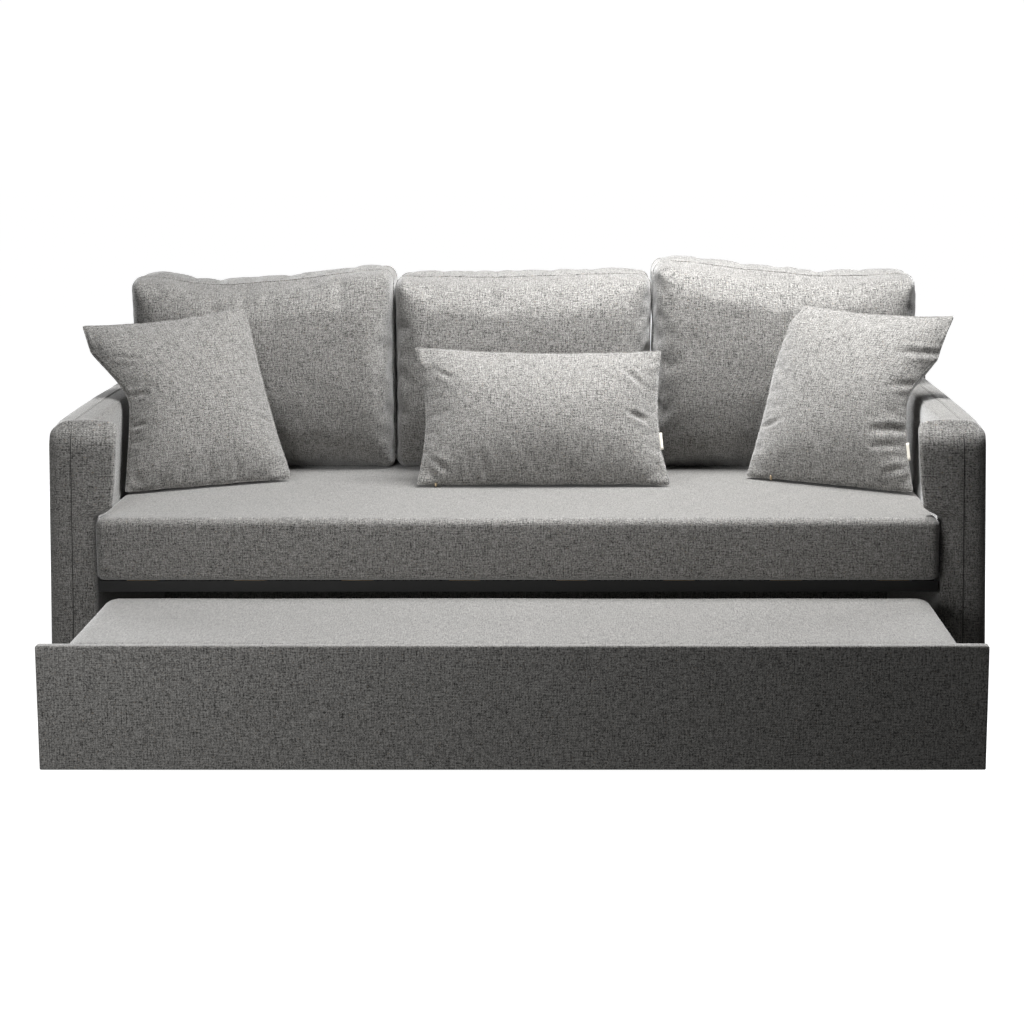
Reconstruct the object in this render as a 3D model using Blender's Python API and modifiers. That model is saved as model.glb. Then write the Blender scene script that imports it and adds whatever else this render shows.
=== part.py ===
"""Three-seat sofa bed with a trundle that rolls out from under the seat, in metres with +Z up.

The sofa faces -Y. The trundle stands pulled out, the way it is used. The origin is under the middle
of the whole object, on the floor.
"""

from math import cos, pi, radians, sin, sqrt, tan

import bmesh
import bpy
from mathutils import Matrix, Vector

GAP = 0.0003  # left between pieces that touch
EDGE = 0.002  # the rounding of sawn timber and steel
BOARD_EDGE = 0.001

# The whole object
SOFA_DEPTH = 0.96  # arm front to rear face
PULL_OUT = 0.522  # arm front to the trundle's front face
ARM_FRONT = (PULL_OUT - SOFA_DEPTH) / 2
REAR = ARM_FRONT + SOFA_DEPTH
PANEL_FRONT = ARM_FRONT - PULL_OUT

# Heights
GLIDE_HEIGHT = 0.012
RAIL_BOTTOM = 0.2794
RAIL_HEIGHT = 0.015
SLAT_THICKNESS = 0.012
SEAT_BOTTOM = RAIL_BOTTOM + RAIL_HEIGHT + SLAT_THICKNESS + 3 * GAP
SEAT_TOP = 0.452
ARM_TOP = 0.667
BACK_TOP = 0.72
CUSHION_TOP = 0.945

# Arms, as distances from the middle of the sofa
ARM_INNER = 0.951
ARM_OUTER_LOW = 1.060
ARM_OUTER_HIGH = 1.040
PAD_INNER_LOW = 0.912
PAD_INNER_HIGH = 0.896
PAD_LEDGE = SEAT_TOP + 0.005
PAD_DEPTH = 0.075  # the roll at the arm's front, which stands in front of the seat's ends
BODY_INNER = 0.944  # the arm's inner face behind the roll
ARM_ROUND = 0.022
ARM_TOP_ROUND = 0.035
LEDGE_ROUND = 0.004
HEM = 0.002  # the covers' lower edges above the glides' tops
BODY_ROUND = 0.003
HOLLOW_INNER = 0.963
HOLLOW_OUTER = 1.030
HOLLOW_TOP = 0.625
HOLLOW_INSET = 0.015
POST_DEPTH = 0.045
RAIL_DEPTH = 0.045
REAR_POST_AT = 0.80  # behind the arm's front
GLIDE_R = 0.02
GLIDE_INSET = 0.05  # from the arm's ends to the glides

# Back, across the whole width behind the arms
BACK_THICKNESS = 0.085
BACK_LOW = 0.030
BACK_EDGE = 0.012
BACK_TOP_ROUND = 0.03
BACK_WALL = 0.012
BACK_SIDE_PAD = 0.025
BACK_TOP_PAD = 0.03
ARM_REAR = REAR - BACK_THICKNESS - GAP

# Seat platform and mattress
RAIL_WIDTH = 0.040
RAIL_PROUD = 0.004  # the front rail, in front of the arms
RAIL_REAR = 0.870  # the rear rail's far edge, behind the arm's front
LIP_HEIGHT = 0.010  # the front rail's upturned edge, which hides the slats' ends
LIP_THICKNESS = 0.003
SEAT_HALF = 0.9485
SEAT_DEPTH = 0.895
SEAT_PROUD = 0.024  # how far the seat stands in front of the arms
SEAT_ROUND = 0.022
SLAT_COUNT = 8
SLAT_WIDTH = 0.070
SLAT_SPAN = 1.70
SLAT_INSET = 0.006
BOLT_AT = 0.049  # the front bolt, behind the arm's front
BOLT_R = 0.004
BOLT_CLEARANCE = 0.0003
BOLT_HEAD_R = 0.0065
BOLT_HEAD = 0.005
BOLT_LENGTH = 0.080

# Back cushions and pillows
CUSHION_FRONT = 0.632  # behind the arm's front
CUSHION_THICKNESS = 0.236
CUSHION_SEAM_LEFT = -0.325
CUSHION_SEAM_RIGHT = 0.322
CUSHION_CLEAR = 0.0015
CUSHION_OVERHANG = 0.985  # how far the outer cushions reach above the arms
CUSHION_ROUND = 0.035
CUSHION_TURN = 0.03
CUSHION_CROWN = 0.015
SIDE_CLEAR = 0.006  # between soft pieces and the arms
PILLOW_CELLS = 8
PILLOW_RIM = 0.003
PILLOW_DRAW = 0.07  # how far the middles of its sides are drawn in

# Trundle
PANEL_HALF = 0.978
PANEL_THICKNESS = 0.026
PANEL_LOW = 0.012
PANEL_HIGH = 0.275
PANEL_PAD = 0.004
TRUNDLE_HALF = 0.921
TRUNDLE_DEPTH = 0.476
TRUNDLE_TOP = 0.2736
TRUNDLE_MATTRESS_HALF = 0.925
BEARER_BOTTOM = 0.067
BEARER_WIDTH = 0.040
BEARER_AT = 0.860
BOARD = 0.018
DECK_BOTTOM = 0.1253
DECK_THICKNESS = 0.012
REAR_BOARD_BOTTOM = 0.040
MATTRESS_GAP = 0.002  # between the front panel and the mattress
MATTRESS_ROUND = 0.018
CASTOR_FRONT = 0.075  # behind the panel's front
CASTOR_REAR = 0.440

# Castors
WHEEL_R = 0.0245
WHEEL_CENTRE = 0.025
WHEEL_WIDTH = 0.026
WHEEL_BORE = 0.0043
WHEEL_STEPS = 20
WHEEL_EDGE = 0.003
AXLE_R = 0.004
FORK_OUTER = 0.0205
FORK_WALL = 0.003
FORK_PLATE = 0.004
FORK_LOW = 0.016
FORK_DEPTH = 0.030

# Finishes: colour, roughness, metallic
FABRIC = ((0.17, 0.17, 0.165), 0.95, 0.0)
TIMBER = ((0.62, 0.46, 0.29), 0.7, 0.0)
PLYWOOD = ((0.70, 0.54, 0.36), 0.65, 0.0)
BLACK_STEEL = ((0.02, 0.02, 0.02), 0.45, 0.6)
ZINC = ((0.62, 0.62, 0.60), 0.35, 1.0)
BLACK_PLASTIC = ((0.025, 0.025, 0.025), 0.5, 0.0)
WHEEL_GREY = ((0.10, 0.10, 0.10), 0.6, 0.0)


def clear_scene():
    """Remove every object, so that the model starts from nothing."""
    for thing in list(bpy.data.objects):
        bpy.data.objects.remove(thing, do_unlink=True)


def collection(name):
    """A new collection in the scene."""
    made = bpy.data.collections.new(name)
    bpy.context.scene.collection.children.link(made)
    return made


def dress(thing, finish):
    """Give a piece its own material."""
    colour, roughness, metallic = finish
    material = bpy.data.materials.new(thing.name + "_finish")
    material.use_nodes = True
    shader = material.node_tree.nodes["Principled BSDF"]
    shader.inputs["Base Color"].default_value = (*colour, 1.0)
    shader.inputs["Roughness"].default_value = roughness
    shader.inputs["Metallic"].default_value = metallic
    thing.data.materials.clear()
    thing.data.materials.append(material)


def add(name, shape, finish, place=(0, 0, 0), cutter=False):
    """Link a bmesh as an object. A cutter is a guide that the finished model leaves out."""
    mesh = bpy.data.meshes.new(name)
    shape.to_mesh(mesh)
    shape.free()
    thing = bpy.data.objects.new(name, mesh)
    thing.location = place
    if cutter:
        CUTTERS.objects.link(thing)
        thing.hide_render = True
        thing.display_type = "WIRE"
    else:
        PARTS.objects.link(thing)
        dress(thing, finish)
    return thing


def bevel(thing, width, segments=2, angle=30):
    """Round a piece's sharp edges."""
    rounding = thing.modifiers.new("rounding", "BEVEL")
    rounding.width = width
    rounding.segments = segments
    rounding.limit_method = "ANGLE"
    rounding.angle_limit = radians(angle)


def boolean(thing, other, operation="DIFFERENCE"):
    """Cut a piece with another, or join the two."""
    step = thing.modifiers.new(operation.lower(), "BOOLEAN")
    step.operation = operation
    step.solver = "EXACT"
    step.object = other


def box(name, low, high, finish=None, round_to=0.0, segments=1, cutter=False):
    """A box between two corners, with its origin at its centre."""
    low, high = Vector(low), Vector(high)
    shape = bmesh.new()
    bmesh.ops.create_cube(shape, size=1.0)
    bmesh.ops.scale(shape, vec=high - low, verts=shape.verts)
    thing = add(name, shape, finish, (low + high) / 2, cutter)
    if round_to:
        bevel(thing, round_to, segments)
    return thing


def rod(name, start, end, radius, finish=None, sides=16, cutter=False):
    """A round bar from one point to another."""
    start, end = Vector(start), Vector(end)
    along = end - start
    shape = bmesh.new()
    bmesh.ops.create_cone(
        shape, cap_ends=True, segments=sides, radius1=radius, radius2=radius, depth=along.length
    )
    turn = along.to_track_quat("Z", "Y").to_matrix().to_4x4()
    bmesh.ops.transform(shape, matrix=turn, verts=shape.verts)
    return add(name, shape, finish, (start + end) / 2, cutter)


def rounded(corners):
    """Points of a closed outline: each corner is (x, z, radius, steps), a radius of 0 stays sharp."""
    points = []
    for index, (x, z, radius, steps) in enumerate(corners):
        here = Vector((x, z))
        if not radius:
            points.append(here)
            continue
        before = (Vector(corners[index - 1][:2]) - here).normalized()
        after = (Vector(corners[(index + 1) % len(corners)][:2]) - here).normalized()
        half = before.angle(after) / 2
        centre = here + (before + after).normalized() * radius / sin(half)
        start = here + before * radius / tan(half) - centre
        sweep = start.angle_signed(here + after * radius / tan(half) - centre)
        for step in range(steps + 1):
            turn = -sweep * step / steps
            points.append(
                centre
                + Vector((start.x * cos(turn) - start.y * sin(turn), start.x * sin(turn) + start.y * cos(turn)))
            )
    return points


def slab(name, points, front, rear, finish, cutter=False):
    """A flat outline in X and Z, drawn as a 2D curve and given its thickness from front to rear."""
    curve = bpy.data.curves.new(name, "CURVE")
    curve.dimensions = "2D"
    curve.fill_mode = "BOTH"
    curve.extrude = (rear - front) / 2
    spline = curve.splines.new("POLY")
    spline.points.add(len(points) - 1)
    for knot, point in zip(spline.points, points):
        knot.co = (point.x, point.y, 0, 1)
    spline.use_cyclic_u = True
    drawn = bpy.data.objects.new(name + "_outline", curve)
    PARTS.objects.link(drawn)
    bpy.context.view_layer.update()
    mesh = bpy.data.meshes.new_from_object(drawn.evaluated_get(bpy.context.evaluated_depsgraph_get()))
    shape = bmesh.new()
    shape.from_mesh(mesh)
    bpy.data.objects.remove(drawn, do_unlink=True)
    bmesh.ops.remove_doubles(shape, verts=shape.verts, dist=0.00001)
    bmesh.ops.dissolve_limit(shape, angle_limit=radians(1), verts=shape.verts, edges=shape.edges)
    bmesh.ops.transform(shape, matrix=Matrix.Rotation(pi / 2, 4, "X"), verts=shape.verts)
    bmesh.ops.recalc_face_normals(shape, faces=shape.faces)
    return add(name, shape, finish, (0, (front + rear) / 2, 0), cutter)


def arm_outline(side, inner_low, inner_high):
    """The arm seen from the front: a top that overhangs the seat's end, and a slimmer base."""
    corners = [
        (ARM_OUTER_LOW, GLIDE_HEIGHT + HEM, 0, 0),
        (ARM_OUTER_HIGH, ARM_TOP, ARM_TOP_ROUND, 4),
        (inner_high, ARM_TOP, ARM_TOP_ROUND, 4),
        (inner_low, PAD_LEDGE, LEDGE_ROUND, 1),
        (ARM_INNER, PAD_LEDGE, 0, 0),
        (ARM_INNER, GLIDE_HEIGHT + HEM, 0, 0),
    ]
    return rounded([(side * x, z, radius, steps) for x, z, radius, steps in corners])


def across(side, near, far):
    """Low and high X of a piece between two distances from the middle, on one side."""
    return min(side * near, side * far), max(side * near, side * far)


def arm(name, side):
    """One arm: its padded cover, and the timber frame that the cover hangs over."""
    body = arm_outline(side, BODY_INNER, BODY_INNER)
    cover = slab(name + "_arm_cover", body, ARM_FRONT + PAD_DEPTH / 2, ARM_REAR, FABRIC)
    bevel(cover, BODY_ROUND, 1, 50)
    roll = slab(
        name + "_arm_roll",
        arm_outline(side, PAD_INNER_LOW, PAD_INNER_HIGH),
        ARM_FRONT,
        ARM_FRONT + PAD_DEPTH,
        FABRIC,
        cutter=True,
    )
    bevel(roll, ARM_ROUND, 3, 50)
    boolean(cover, roll, "UNION")
    low_x, high_x = across(side, HOLLOW_INNER, HOLLOW_OUTER)
    hollow = box(
        name + "_arm_hollow",
        (low_x, ARM_FRONT + HOLLOW_INSET, -0.05),
        (high_x, ARM_REAR - HOLLOW_INSET, HOLLOW_TOP),
        cutter=True,
    )
    boolean(cover, hollow)
    low_x, high_x = low_x + GAP, high_x - GAP
    front = ARM_FRONT + HOLLOW_INSET + GAP
    rear = ARM_REAR - HOLLOW_INSET - GAP
    low = GLIDE_HEIGHT + GAP
    high = HOLLOW_TOP - GAP
    box(name + "_arm_bottom_rail", (low_x, front, low), (high_x, rear, low + RAIL_DEPTH), TIMBER, EDGE)
    box(name + "_arm_top_rail", (low_x, front, high - RAIL_DEPTH), (high_x, rear, high), TIMBER, EDGE)
    post_low = low + RAIL_DEPTH + GAP
    post_high = high - RAIL_DEPTH - GAP
    posts = {}
    for end, start in (("front", front), ("rear", ARM_FRONT + REAR_POST_AT)):
        posts[end] = box(
            f"{name}_arm_{end}_post",
            (low_x, start, post_low),
            (high_x, start + POST_DEPTH, post_high),
            TIMBER,
        )
    return cover, posts


def back():
    """The back behind the arms: a padded cover over a timber frame."""
    front = REAR - BACK_THICKNESS
    outline = rounded(
        [
            (-ARM_OUTER_LOW, BACK_LOW, 0, 0),
            (-ARM_OUTER_HIGH, BACK_TOP, BACK_TOP_ROUND, 3),
            (ARM_OUTER_HIGH, BACK_TOP, BACK_TOP_ROUND, 3),
            (ARM_OUTER_LOW, BACK_LOW, 0, 0),
        ]
    )
    cover = slab("back_cover", outline, front, REAR, FABRIC)
    bevel(cover, BACK_EDGE, 2, 50)
    hollow_half = ARM_OUTER_HIGH - BACK_SIDE_PAD
    hollow_top = BACK_TOP - BACK_TOP_PAD
    hollow_front, hollow_rear = front + BACK_WALL, REAR - BACK_WALL
    hollow = box(
        "back_hollow",
        (-hollow_half, hollow_front, -0.05),
        (hollow_half, hollow_rear, hollow_top),
        cutter=True,
    )
    boolean(cover, hollow)
    half = hollow_half - GAP
    front, rear = hollow_front + GAP, hollow_rear - GAP
    high = hollow_top - GAP
    box("back_bottom_rail", (-half, front, BACK_LOW), (half, rear, BACK_LOW + RAIL_DEPTH), TIMBER, EDGE)
    box("back_top_rail", (-half, front, high - RAIL_DEPTH), (half, rear, high), TIMBER, EDGE)
    for name, centre in (("left", POST_DEPTH / 2 - half), ("middle", 0.0), ("right", half - POST_DEPTH / 2)):
        box(
            f"back_{name}_post",
            (centre - POST_DEPTH / 2, front, BACK_LOW + RAIL_DEPTH + GAP),
            (centre + POST_DEPTH / 2, rear, high - RAIL_DEPTH - GAP),
            TIMBER,
        )


def glide(name, side, along):
    """A plastic floor glide under an arm."""
    x = side * (HOLLOW_INNER + HOLLOW_OUTER) / 2
    thing = rod(name, (x, along, 0), (x, along, GLIDE_HEIGHT), GLIDE_R, BLACK_PLASTIC, 20)
    bevel(thing, EDGE)


def seat_bolt(name, side, along, cut_pieces):
    """A bolt through a side rail and the arm's cover into a post, and its holes."""
    z = RAIL_BOTTOM + RAIL_HEIGHT / 2
    inner = SEAT_HALF - RAIL_WIDTH + GAP
    head_end = inner - GAP
    start = Vector((side * (head_end - BOLT_HEAD), along, z))
    shoulder = Vector((side * head_end, along, z))
    tip = Vector((side * (head_end + BOLT_LENGTH), along, z))
    bolt = rod(name, start, shoulder, BOLT_HEAD_R, ZINC, 6)
    shank = rod(name + "_shank", shoulder - Vector((side * 0.002, 0, 0)), tip, BOLT_R, cutter=True)
    boolean(bolt, shank, "UNION")
    reach = Vector((side * 0.001, 0, 0))
    hole = rod(
        name + "_hole", shoulder - reach, tip + reach, BOLT_R + BOLT_CLEARANCE, cutter=True
    )
    for piece in cut_pieces:
        boolean(piece, hole)


def seat_platform(arms):
    """Steel rails bolted to the arms, and the slats that lie on them."""
    low, high = RAIL_BOTTOM, RAIL_BOTTOM + RAIL_HEIGHT
    front = ARM_FRONT - RAIL_PROUD
    rear = ARM_FRONT + RAIL_REAR
    half = SEAT_HALF + GAP
    front_rail = box("seat_front_rail", (-half, front, low), (half, front + RAIL_WIDTH, high), BLACK_STEEL)
    lip = box(
        "seat_front_lip",
        (-half, front, (low + high) / 2),
        (half, front + LIP_THICKNESS, high + LIP_HEIGHT),
        cutter=True,
    )
    boolean(front_rail, lip, "UNION")
    box("seat_rear_rail", (-half, rear - RAIL_WIDTH, low), (half, rear, high), BLACK_STEEL, EDGE)
    for name, side in SIDES:
        low_x, high_x = across(side, SEAT_HALF - RAIL_WIDTH + GAP, half)
        rail = box(
            f"seat_{name}_rail",
            (low_x, front + RAIL_WIDTH + GAP, low),
            (high_x, rear - RAIL_WIDTH - GAP, high),
            BLACK_STEEL,
        )
        cover, posts = arms[name]
        for end, along in (("front", ARM_FRONT + BOLT_AT), ("rear", ARM_FRONT + REAR_POST_AT + POST_DEPTH / 3)):
            seat_bolt(f"seat_bolt_{end}_{name}", side, along, (rail, cover, posts[end]))
    for index in range(SLAT_COUNT):
        x = SLAT_SPAN * (index / (SLAT_COUNT - 1) - 0.5)
        box(
            f"seat_slat_{index + 1}",
            (x - SLAT_WIDTH / 2, front + SLAT_INSET, high + GAP),
            (x + SLAT_WIDTH / 2, rear - SLAT_INSET, high + GAP + SLAT_THICKNESS),
            PLYWOOD,
            0.002,
        )


def back_cushion(name, corners):
    """A boxed cushion standing on the seat against the back, from its outline."""
    front = ARM_FRONT + CUSHION_FRONT
    cushion = slab(name, rounded(corners), front, front + CUSHION_THICKNESS, FABRIC)
    bevel(cushion, CUSHION_ROUND, 3, 50)


def back_cushions():
    """Three cushions. The outer two widen above the arms, which they lean over."""
    low = SEAT_TOP + GAP
    arm_gap = ARM_TOP + SIDE_CLEAR
    pad = BODY_INNER - SIDE_CLEAR
    turn = CUSHION_TURN
    for name, side, seam in (("left", -1, -CUSHION_SEAM_LEFT), ("right", 1, CUSHION_SEAM_RIGHT)):
        corners = [
            (seam + CUSHION_CLEAR, low, turn, 2),
            (pad, low, turn, 2),
            (pad, arm_gap, 0, 0),
            (CUSHION_OVERHANG, arm_gap, turn, 2),
            (CUSHION_OVERHANG, CUSHION_TOP, turn, 3),
            (seam + CUSHION_CLEAR, CUSHION_TOP + CUSHION_CROWN, turn, 3),
        ]
        back_cushion(
            f"back_cushion_{name}", [(side * x, z, radius, steps) for x, z, radius, steps in corners]
        )
    left, right = CUSHION_SEAM_LEFT + CUSHION_CLEAR, CUSHION_SEAM_RIGHT - CUSHION_CLEAR
    back_cushion(
        "back_cushion_centre",
        [(left, low, turn, 2), (left, CUSHION_TOP, turn, 3), (right, CUSHION_TOP, turn, 3), (right, low, turn, 2)],
    )


def clear_of_arms(point):
    """Keep a soft piece's point between the arms below their top, as the arms press it."""
    pad = BODY_INNER - SIDE_CLEAR
    above = (point.z - ARM_TOP - SIDE_CLEAR) / 0.04
    if above < 1:
        limit = pad + 0.05 * max(above, 0)
        point.x = max(-limit, min(limit, point.x))
    return point


def pillow(name, size, centre, yaw, lean, roll):
    """A knife-edge pillow: full in the middle, thin at its seam, with its sides drawn in."""
    width, height, thickness = size
    shape = bmesh.new()
    bmesh.ops.create_grid(shape, x_segments=PILLOW_CELLS, y_segments=PILLOW_CELLS, size=1.0)
    face_side = list(shape.verts)
    made = bmesh.ops.extrude_face_region(shape, geom=shape.faces[:])
    other_side = [item for item in made["geom"] if isinstance(item, bmesh.types.BMVert)]
    for verts, sign in ((face_side, -1), (other_side, 1)):
        for vert in verts:
            u, v = vert.co.x, vert.co.y
            fullness = sqrt(max(0.0, (1 - u * u) * (1 - v * v)))
            vert.co = (
                width / 2 * u * (1 - PILLOW_DRAW * (1 - v * v)),
                height / 2 * v * (1 - PILLOW_DRAW * (1 - u * u)),
                sign * (PILLOW_RIM + thickness / 2 * fullness ** 0.8),
            )
    stand = Matrix.Rotation(pi / 2, 4, "X")
    turn = Matrix.Rotation(yaw, 4, "Z") @ Matrix.Rotation(-lean, 4, "X") @ Matrix.Rotation(roll, 4, "Y")
    bmesh.ops.transform(shape, matrix=turn @ stand, verts=shape.verts)
    centre = Vector(centre)
    for vert in shape.verts:
        vert.co = clear_of_arms(vert.co + centre) - centre
        vert.co.z = max(vert.co.z, SEAT_TOP + GAP - centre.z)
    bmesh.ops.recalc_face_normals(shape, faces=shape.faces)
    thing = add(name, shape, FABRIC, centre)
    thing.data.shade_smooth()


def pillows():
    """Two square pillows in the corners and an oblong one in the middle."""
    pillow("left_pillow", (0.44, 0.44, 0.13), (-0.785, ARM_FRONT + 0.375, 0.668), radians(30), radians(22), 0)
    pillow("right_pillow", (0.44, 0.44, 0.13), (0.785, ARM_FRONT + 0.375, 0.668), radians(-30), radians(22), 0)
    pillow("lumbar_pillow", (0.60, 0.36, 0.13), (0.05, ARM_FRONT + 0.475, 0.617), 0, radians(23), 0)


def trundle_box():
    """The rolling box: its upholstered front, boards, deck and bearers, and the mattress on it."""
    front = PANEL_FRONT
    cover = box(
        "trundle_front_cover",
        (-PANEL_HALF, front, PANEL_LOW),
        (PANEL_HALF, front + PANEL_THICKNESS, PANEL_HIGH),
        FABRIC,
        0.003,
        2,
    )
    inner = PANEL_PAD - GAP
    pocket = box(
        "trundle_front_pocket",
        (inner - PANEL_HALF, front + inner, PANEL_LOW + inner),
        (PANEL_HALF - inner, front + PANEL_THICKNESS + 0.02, PANEL_HIGH - inner),
        cutter=True,
    )
    boolean(cover, pocket)
    box(
        "trundle_front_board",
        (PANEL_PAD - PANEL_HALF, front + PANEL_PAD, PANEL_LOW + PANEL_PAD),
        (PANEL_HALF - PANEL_PAD, front + PANEL_PAD + BOARD, PANEL_HIGH - PANEL_PAD),
        PLYWOOD,
    )
    start = front + PANEL_PAD + BOARD + GAP
    end = front + PANEL_THICKNESS + MATTRESS_GAP + TRUNDLE_DEPTH
    rear_front = end - BOARD
    top = DECK_BOTTOM - GAP
    for name, side in SIDES:
        low_x, high_x = across(side, TRUNDLE_HALF - BOARD, TRUNDLE_HALF)
        box(
            f"trundle_{name}_board",
            (low_x, start, BEARER_BOTTOM),
            (high_x, rear_front - GAP, top),
            PLYWOOD,
            BOARD_EDGE,
        )
        box(
            f"trundle_{name}_bearer",
            (side * BEARER_AT - BEARER_WIDTH / 2, start, BEARER_BOTTOM),
            (side * BEARER_AT + BEARER_WIDTH / 2, rear_front - GAP, top),
            TIMBER,
            BOARD_EDGE,
        )
    box("trundle_rear_board", (-TRUNDLE_HALF, rear_front, REAR_BOARD_BOTTOM), (TRUNDLE_HALF, end, top), PLYWOOD, BOARD_EDGE)
    box(
        "trundle_deck",
        (-TRUNDLE_HALF, start, DECK_BOTTOM),
        (TRUNDLE_HALF, end, DECK_BOTTOM + DECK_THICKNESS),
        PLYWOOD,
    )
    box(
        "trundle_mattress",
        (-TRUNDLE_MATTRESS_HALF, end - TRUNDLE_DEPTH, DECK_BOTTOM + DECK_THICKNESS + GAP),
        (TRUNDLE_MATTRESS_HALF, end, TRUNDLE_TOP),
        FABRIC,
        MATTRESS_ROUND,
        3,
    )


def castor(name, x, y):
    """A fixed castor: a folded steel fork with its axle, and the wheel that turns on it."""
    outline = rounded(
        [
            (-FORK_OUTER, FORK_LOW, 0, 0),
            (-FORK_OUTER, BEARER_BOTTOM - GAP, 0.003, 2),
            (FORK_OUTER, BEARER_BOTTOM - GAP, 0.003, 2),
            (FORK_OUTER, FORK_LOW, 0, 0),
            (FORK_OUTER - FORK_WALL, FORK_LOW, 0, 0),
            (FORK_OUTER - FORK_WALL, BEARER_BOTTOM - GAP - FORK_PLATE, 0, 0),
            (FORK_WALL - FORK_OUTER, BEARER_BOTTOM - GAP - FORK_PLATE, 0, 0),
            (FORK_WALL - FORK_OUTER, FORK_LOW, 0, 0),
        ]
    )
    fork = slab(f"{name}_castor_fork", outline, y - FORK_DEPTH / 2, y + FORK_DEPTH / 2, BLACK_STEEL)
    fork.location.x = x
    reach = FORK_OUTER + 0.002
    axle = rod(
        f"{name}_axle", (x - reach, y, WHEEL_CENTRE), (x + reach, y, WHEEL_CENTRE), AXLE_R, cutter=True
    )
    boolean(fork, axle, "UNION")

    half = WHEEL_WIDTH / 2
    profile = [
        (WHEEL_BORE, half),
        (WHEEL_R - WHEEL_EDGE, half),
        (WHEEL_R, half - WHEEL_EDGE),
        (WHEEL_R, WHEEL_EDGE - half),
        (WHEEL_R - WHEEL_EDGE, -half),
        (WHEEL_BORE, -half),
    ]
    shape = bmesh.new()
    knots = [shape.verts.new((radius, 0, height)) for radius, height in profile]
    for knot, following in zip(knots, knots[1:] + knots[:1]):
        shape.edges.new((knot, following))
    wheel = add(f"{name}_castor_wheel", shape, WHEEL_GREY, (x, y, WHEEL_CENTRE))
    wheel.rotation_euler = (0, pi / 2, 0)
    turning = wheel.modifiers.new("turning", "SCREW")
    turning.steps = turning.render_steps = WHEEL_STEPS
    turning.use_merge_vertices = True
    turning.merge_threshold = 0.00005
    turning.use_smooth_shade = False


clear_scene()
PARTS = collection("trundle_bed")
CUTTERS = collection("cutters")
SIDES = (("left", -1), ("right", 1))

arms_made = {side_name: arm(side_name, side_sign) for side_name, side_sign in SIDES}
back()
seat_platform(arms_made)
for side_name, side_sign in SIDES:
    glide(f"glide_front_{side_name}", side_sign, ARM_FRONT + GLIDE_INSET)
    glide(f"glide_rear_{side_name}", side_sign, ARM_REAR - GLIDE_INSET)
box(
    "seat_mattress",
    (-SEAT_HALF, ARM_FRONT - SEAT_PROUD, SEAT_BOTTOM),
    (SEAT_HALF, ARM_FRONT - SEAT_PROUD + SEAT_DEPTH, SEAT_TOP),
    FABRIC,
    SEAT_ROUND,
    3,
)
back_cushions()
pillows()
trundle_box()
for side_name, side_sign in SIDES:
    castor(f"front_{side_name}", side_sign * BEARER_AT, PANEL_FRONT + CASTOR_FRONT)
    castor(f"rear_{side_name}", side_sign * BEARER_AT, PANEL_FRONT + CASTOR_REAR)
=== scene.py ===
"""How the trundle bed looks: a three-seat sofa in heathered grey cloth, with a bed that rolls out under it.

Everything is in metres, with +Z up and the sofa facing -Y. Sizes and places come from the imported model.
"""

import logging
from collections.abc import Callable, Sequence
from dataclasses import dataclass, field
from enum import Enum
from math import cos, pi, radians, sin, tan

import bmesh
import bpy
import numpy as np
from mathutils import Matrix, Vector, noise
from mathutils.bvhtree import BVHTree


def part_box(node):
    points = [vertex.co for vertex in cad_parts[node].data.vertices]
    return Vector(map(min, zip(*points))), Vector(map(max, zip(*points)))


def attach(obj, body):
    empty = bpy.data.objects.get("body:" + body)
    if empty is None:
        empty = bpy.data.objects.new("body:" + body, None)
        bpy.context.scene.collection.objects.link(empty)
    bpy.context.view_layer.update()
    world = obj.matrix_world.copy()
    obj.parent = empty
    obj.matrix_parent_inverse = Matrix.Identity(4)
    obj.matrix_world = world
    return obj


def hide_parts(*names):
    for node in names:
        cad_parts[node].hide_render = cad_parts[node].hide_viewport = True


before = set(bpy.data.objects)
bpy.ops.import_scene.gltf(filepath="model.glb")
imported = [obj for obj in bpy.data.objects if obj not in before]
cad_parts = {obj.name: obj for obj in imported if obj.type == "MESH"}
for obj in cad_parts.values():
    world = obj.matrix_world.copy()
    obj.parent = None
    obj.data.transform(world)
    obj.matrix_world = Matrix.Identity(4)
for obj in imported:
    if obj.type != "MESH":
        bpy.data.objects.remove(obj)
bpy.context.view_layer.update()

Colour = tuple[float, float, float]
Point = tuple[float, float, float]

LOG = logging.getLogger("trundle_bed")
WEAVE_MAP = "weave"
ON_CLOTH = 0.0002  # how far a seam's path stands off the cloth under it
DROP = 0.1  # how far off a piece a path starts before it is dropped onto it
HEM = 0.002  # the height above a cover's lower edge that counts as its open underside


# ---------------------------------------------------------------------------------------------- nodes


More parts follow.
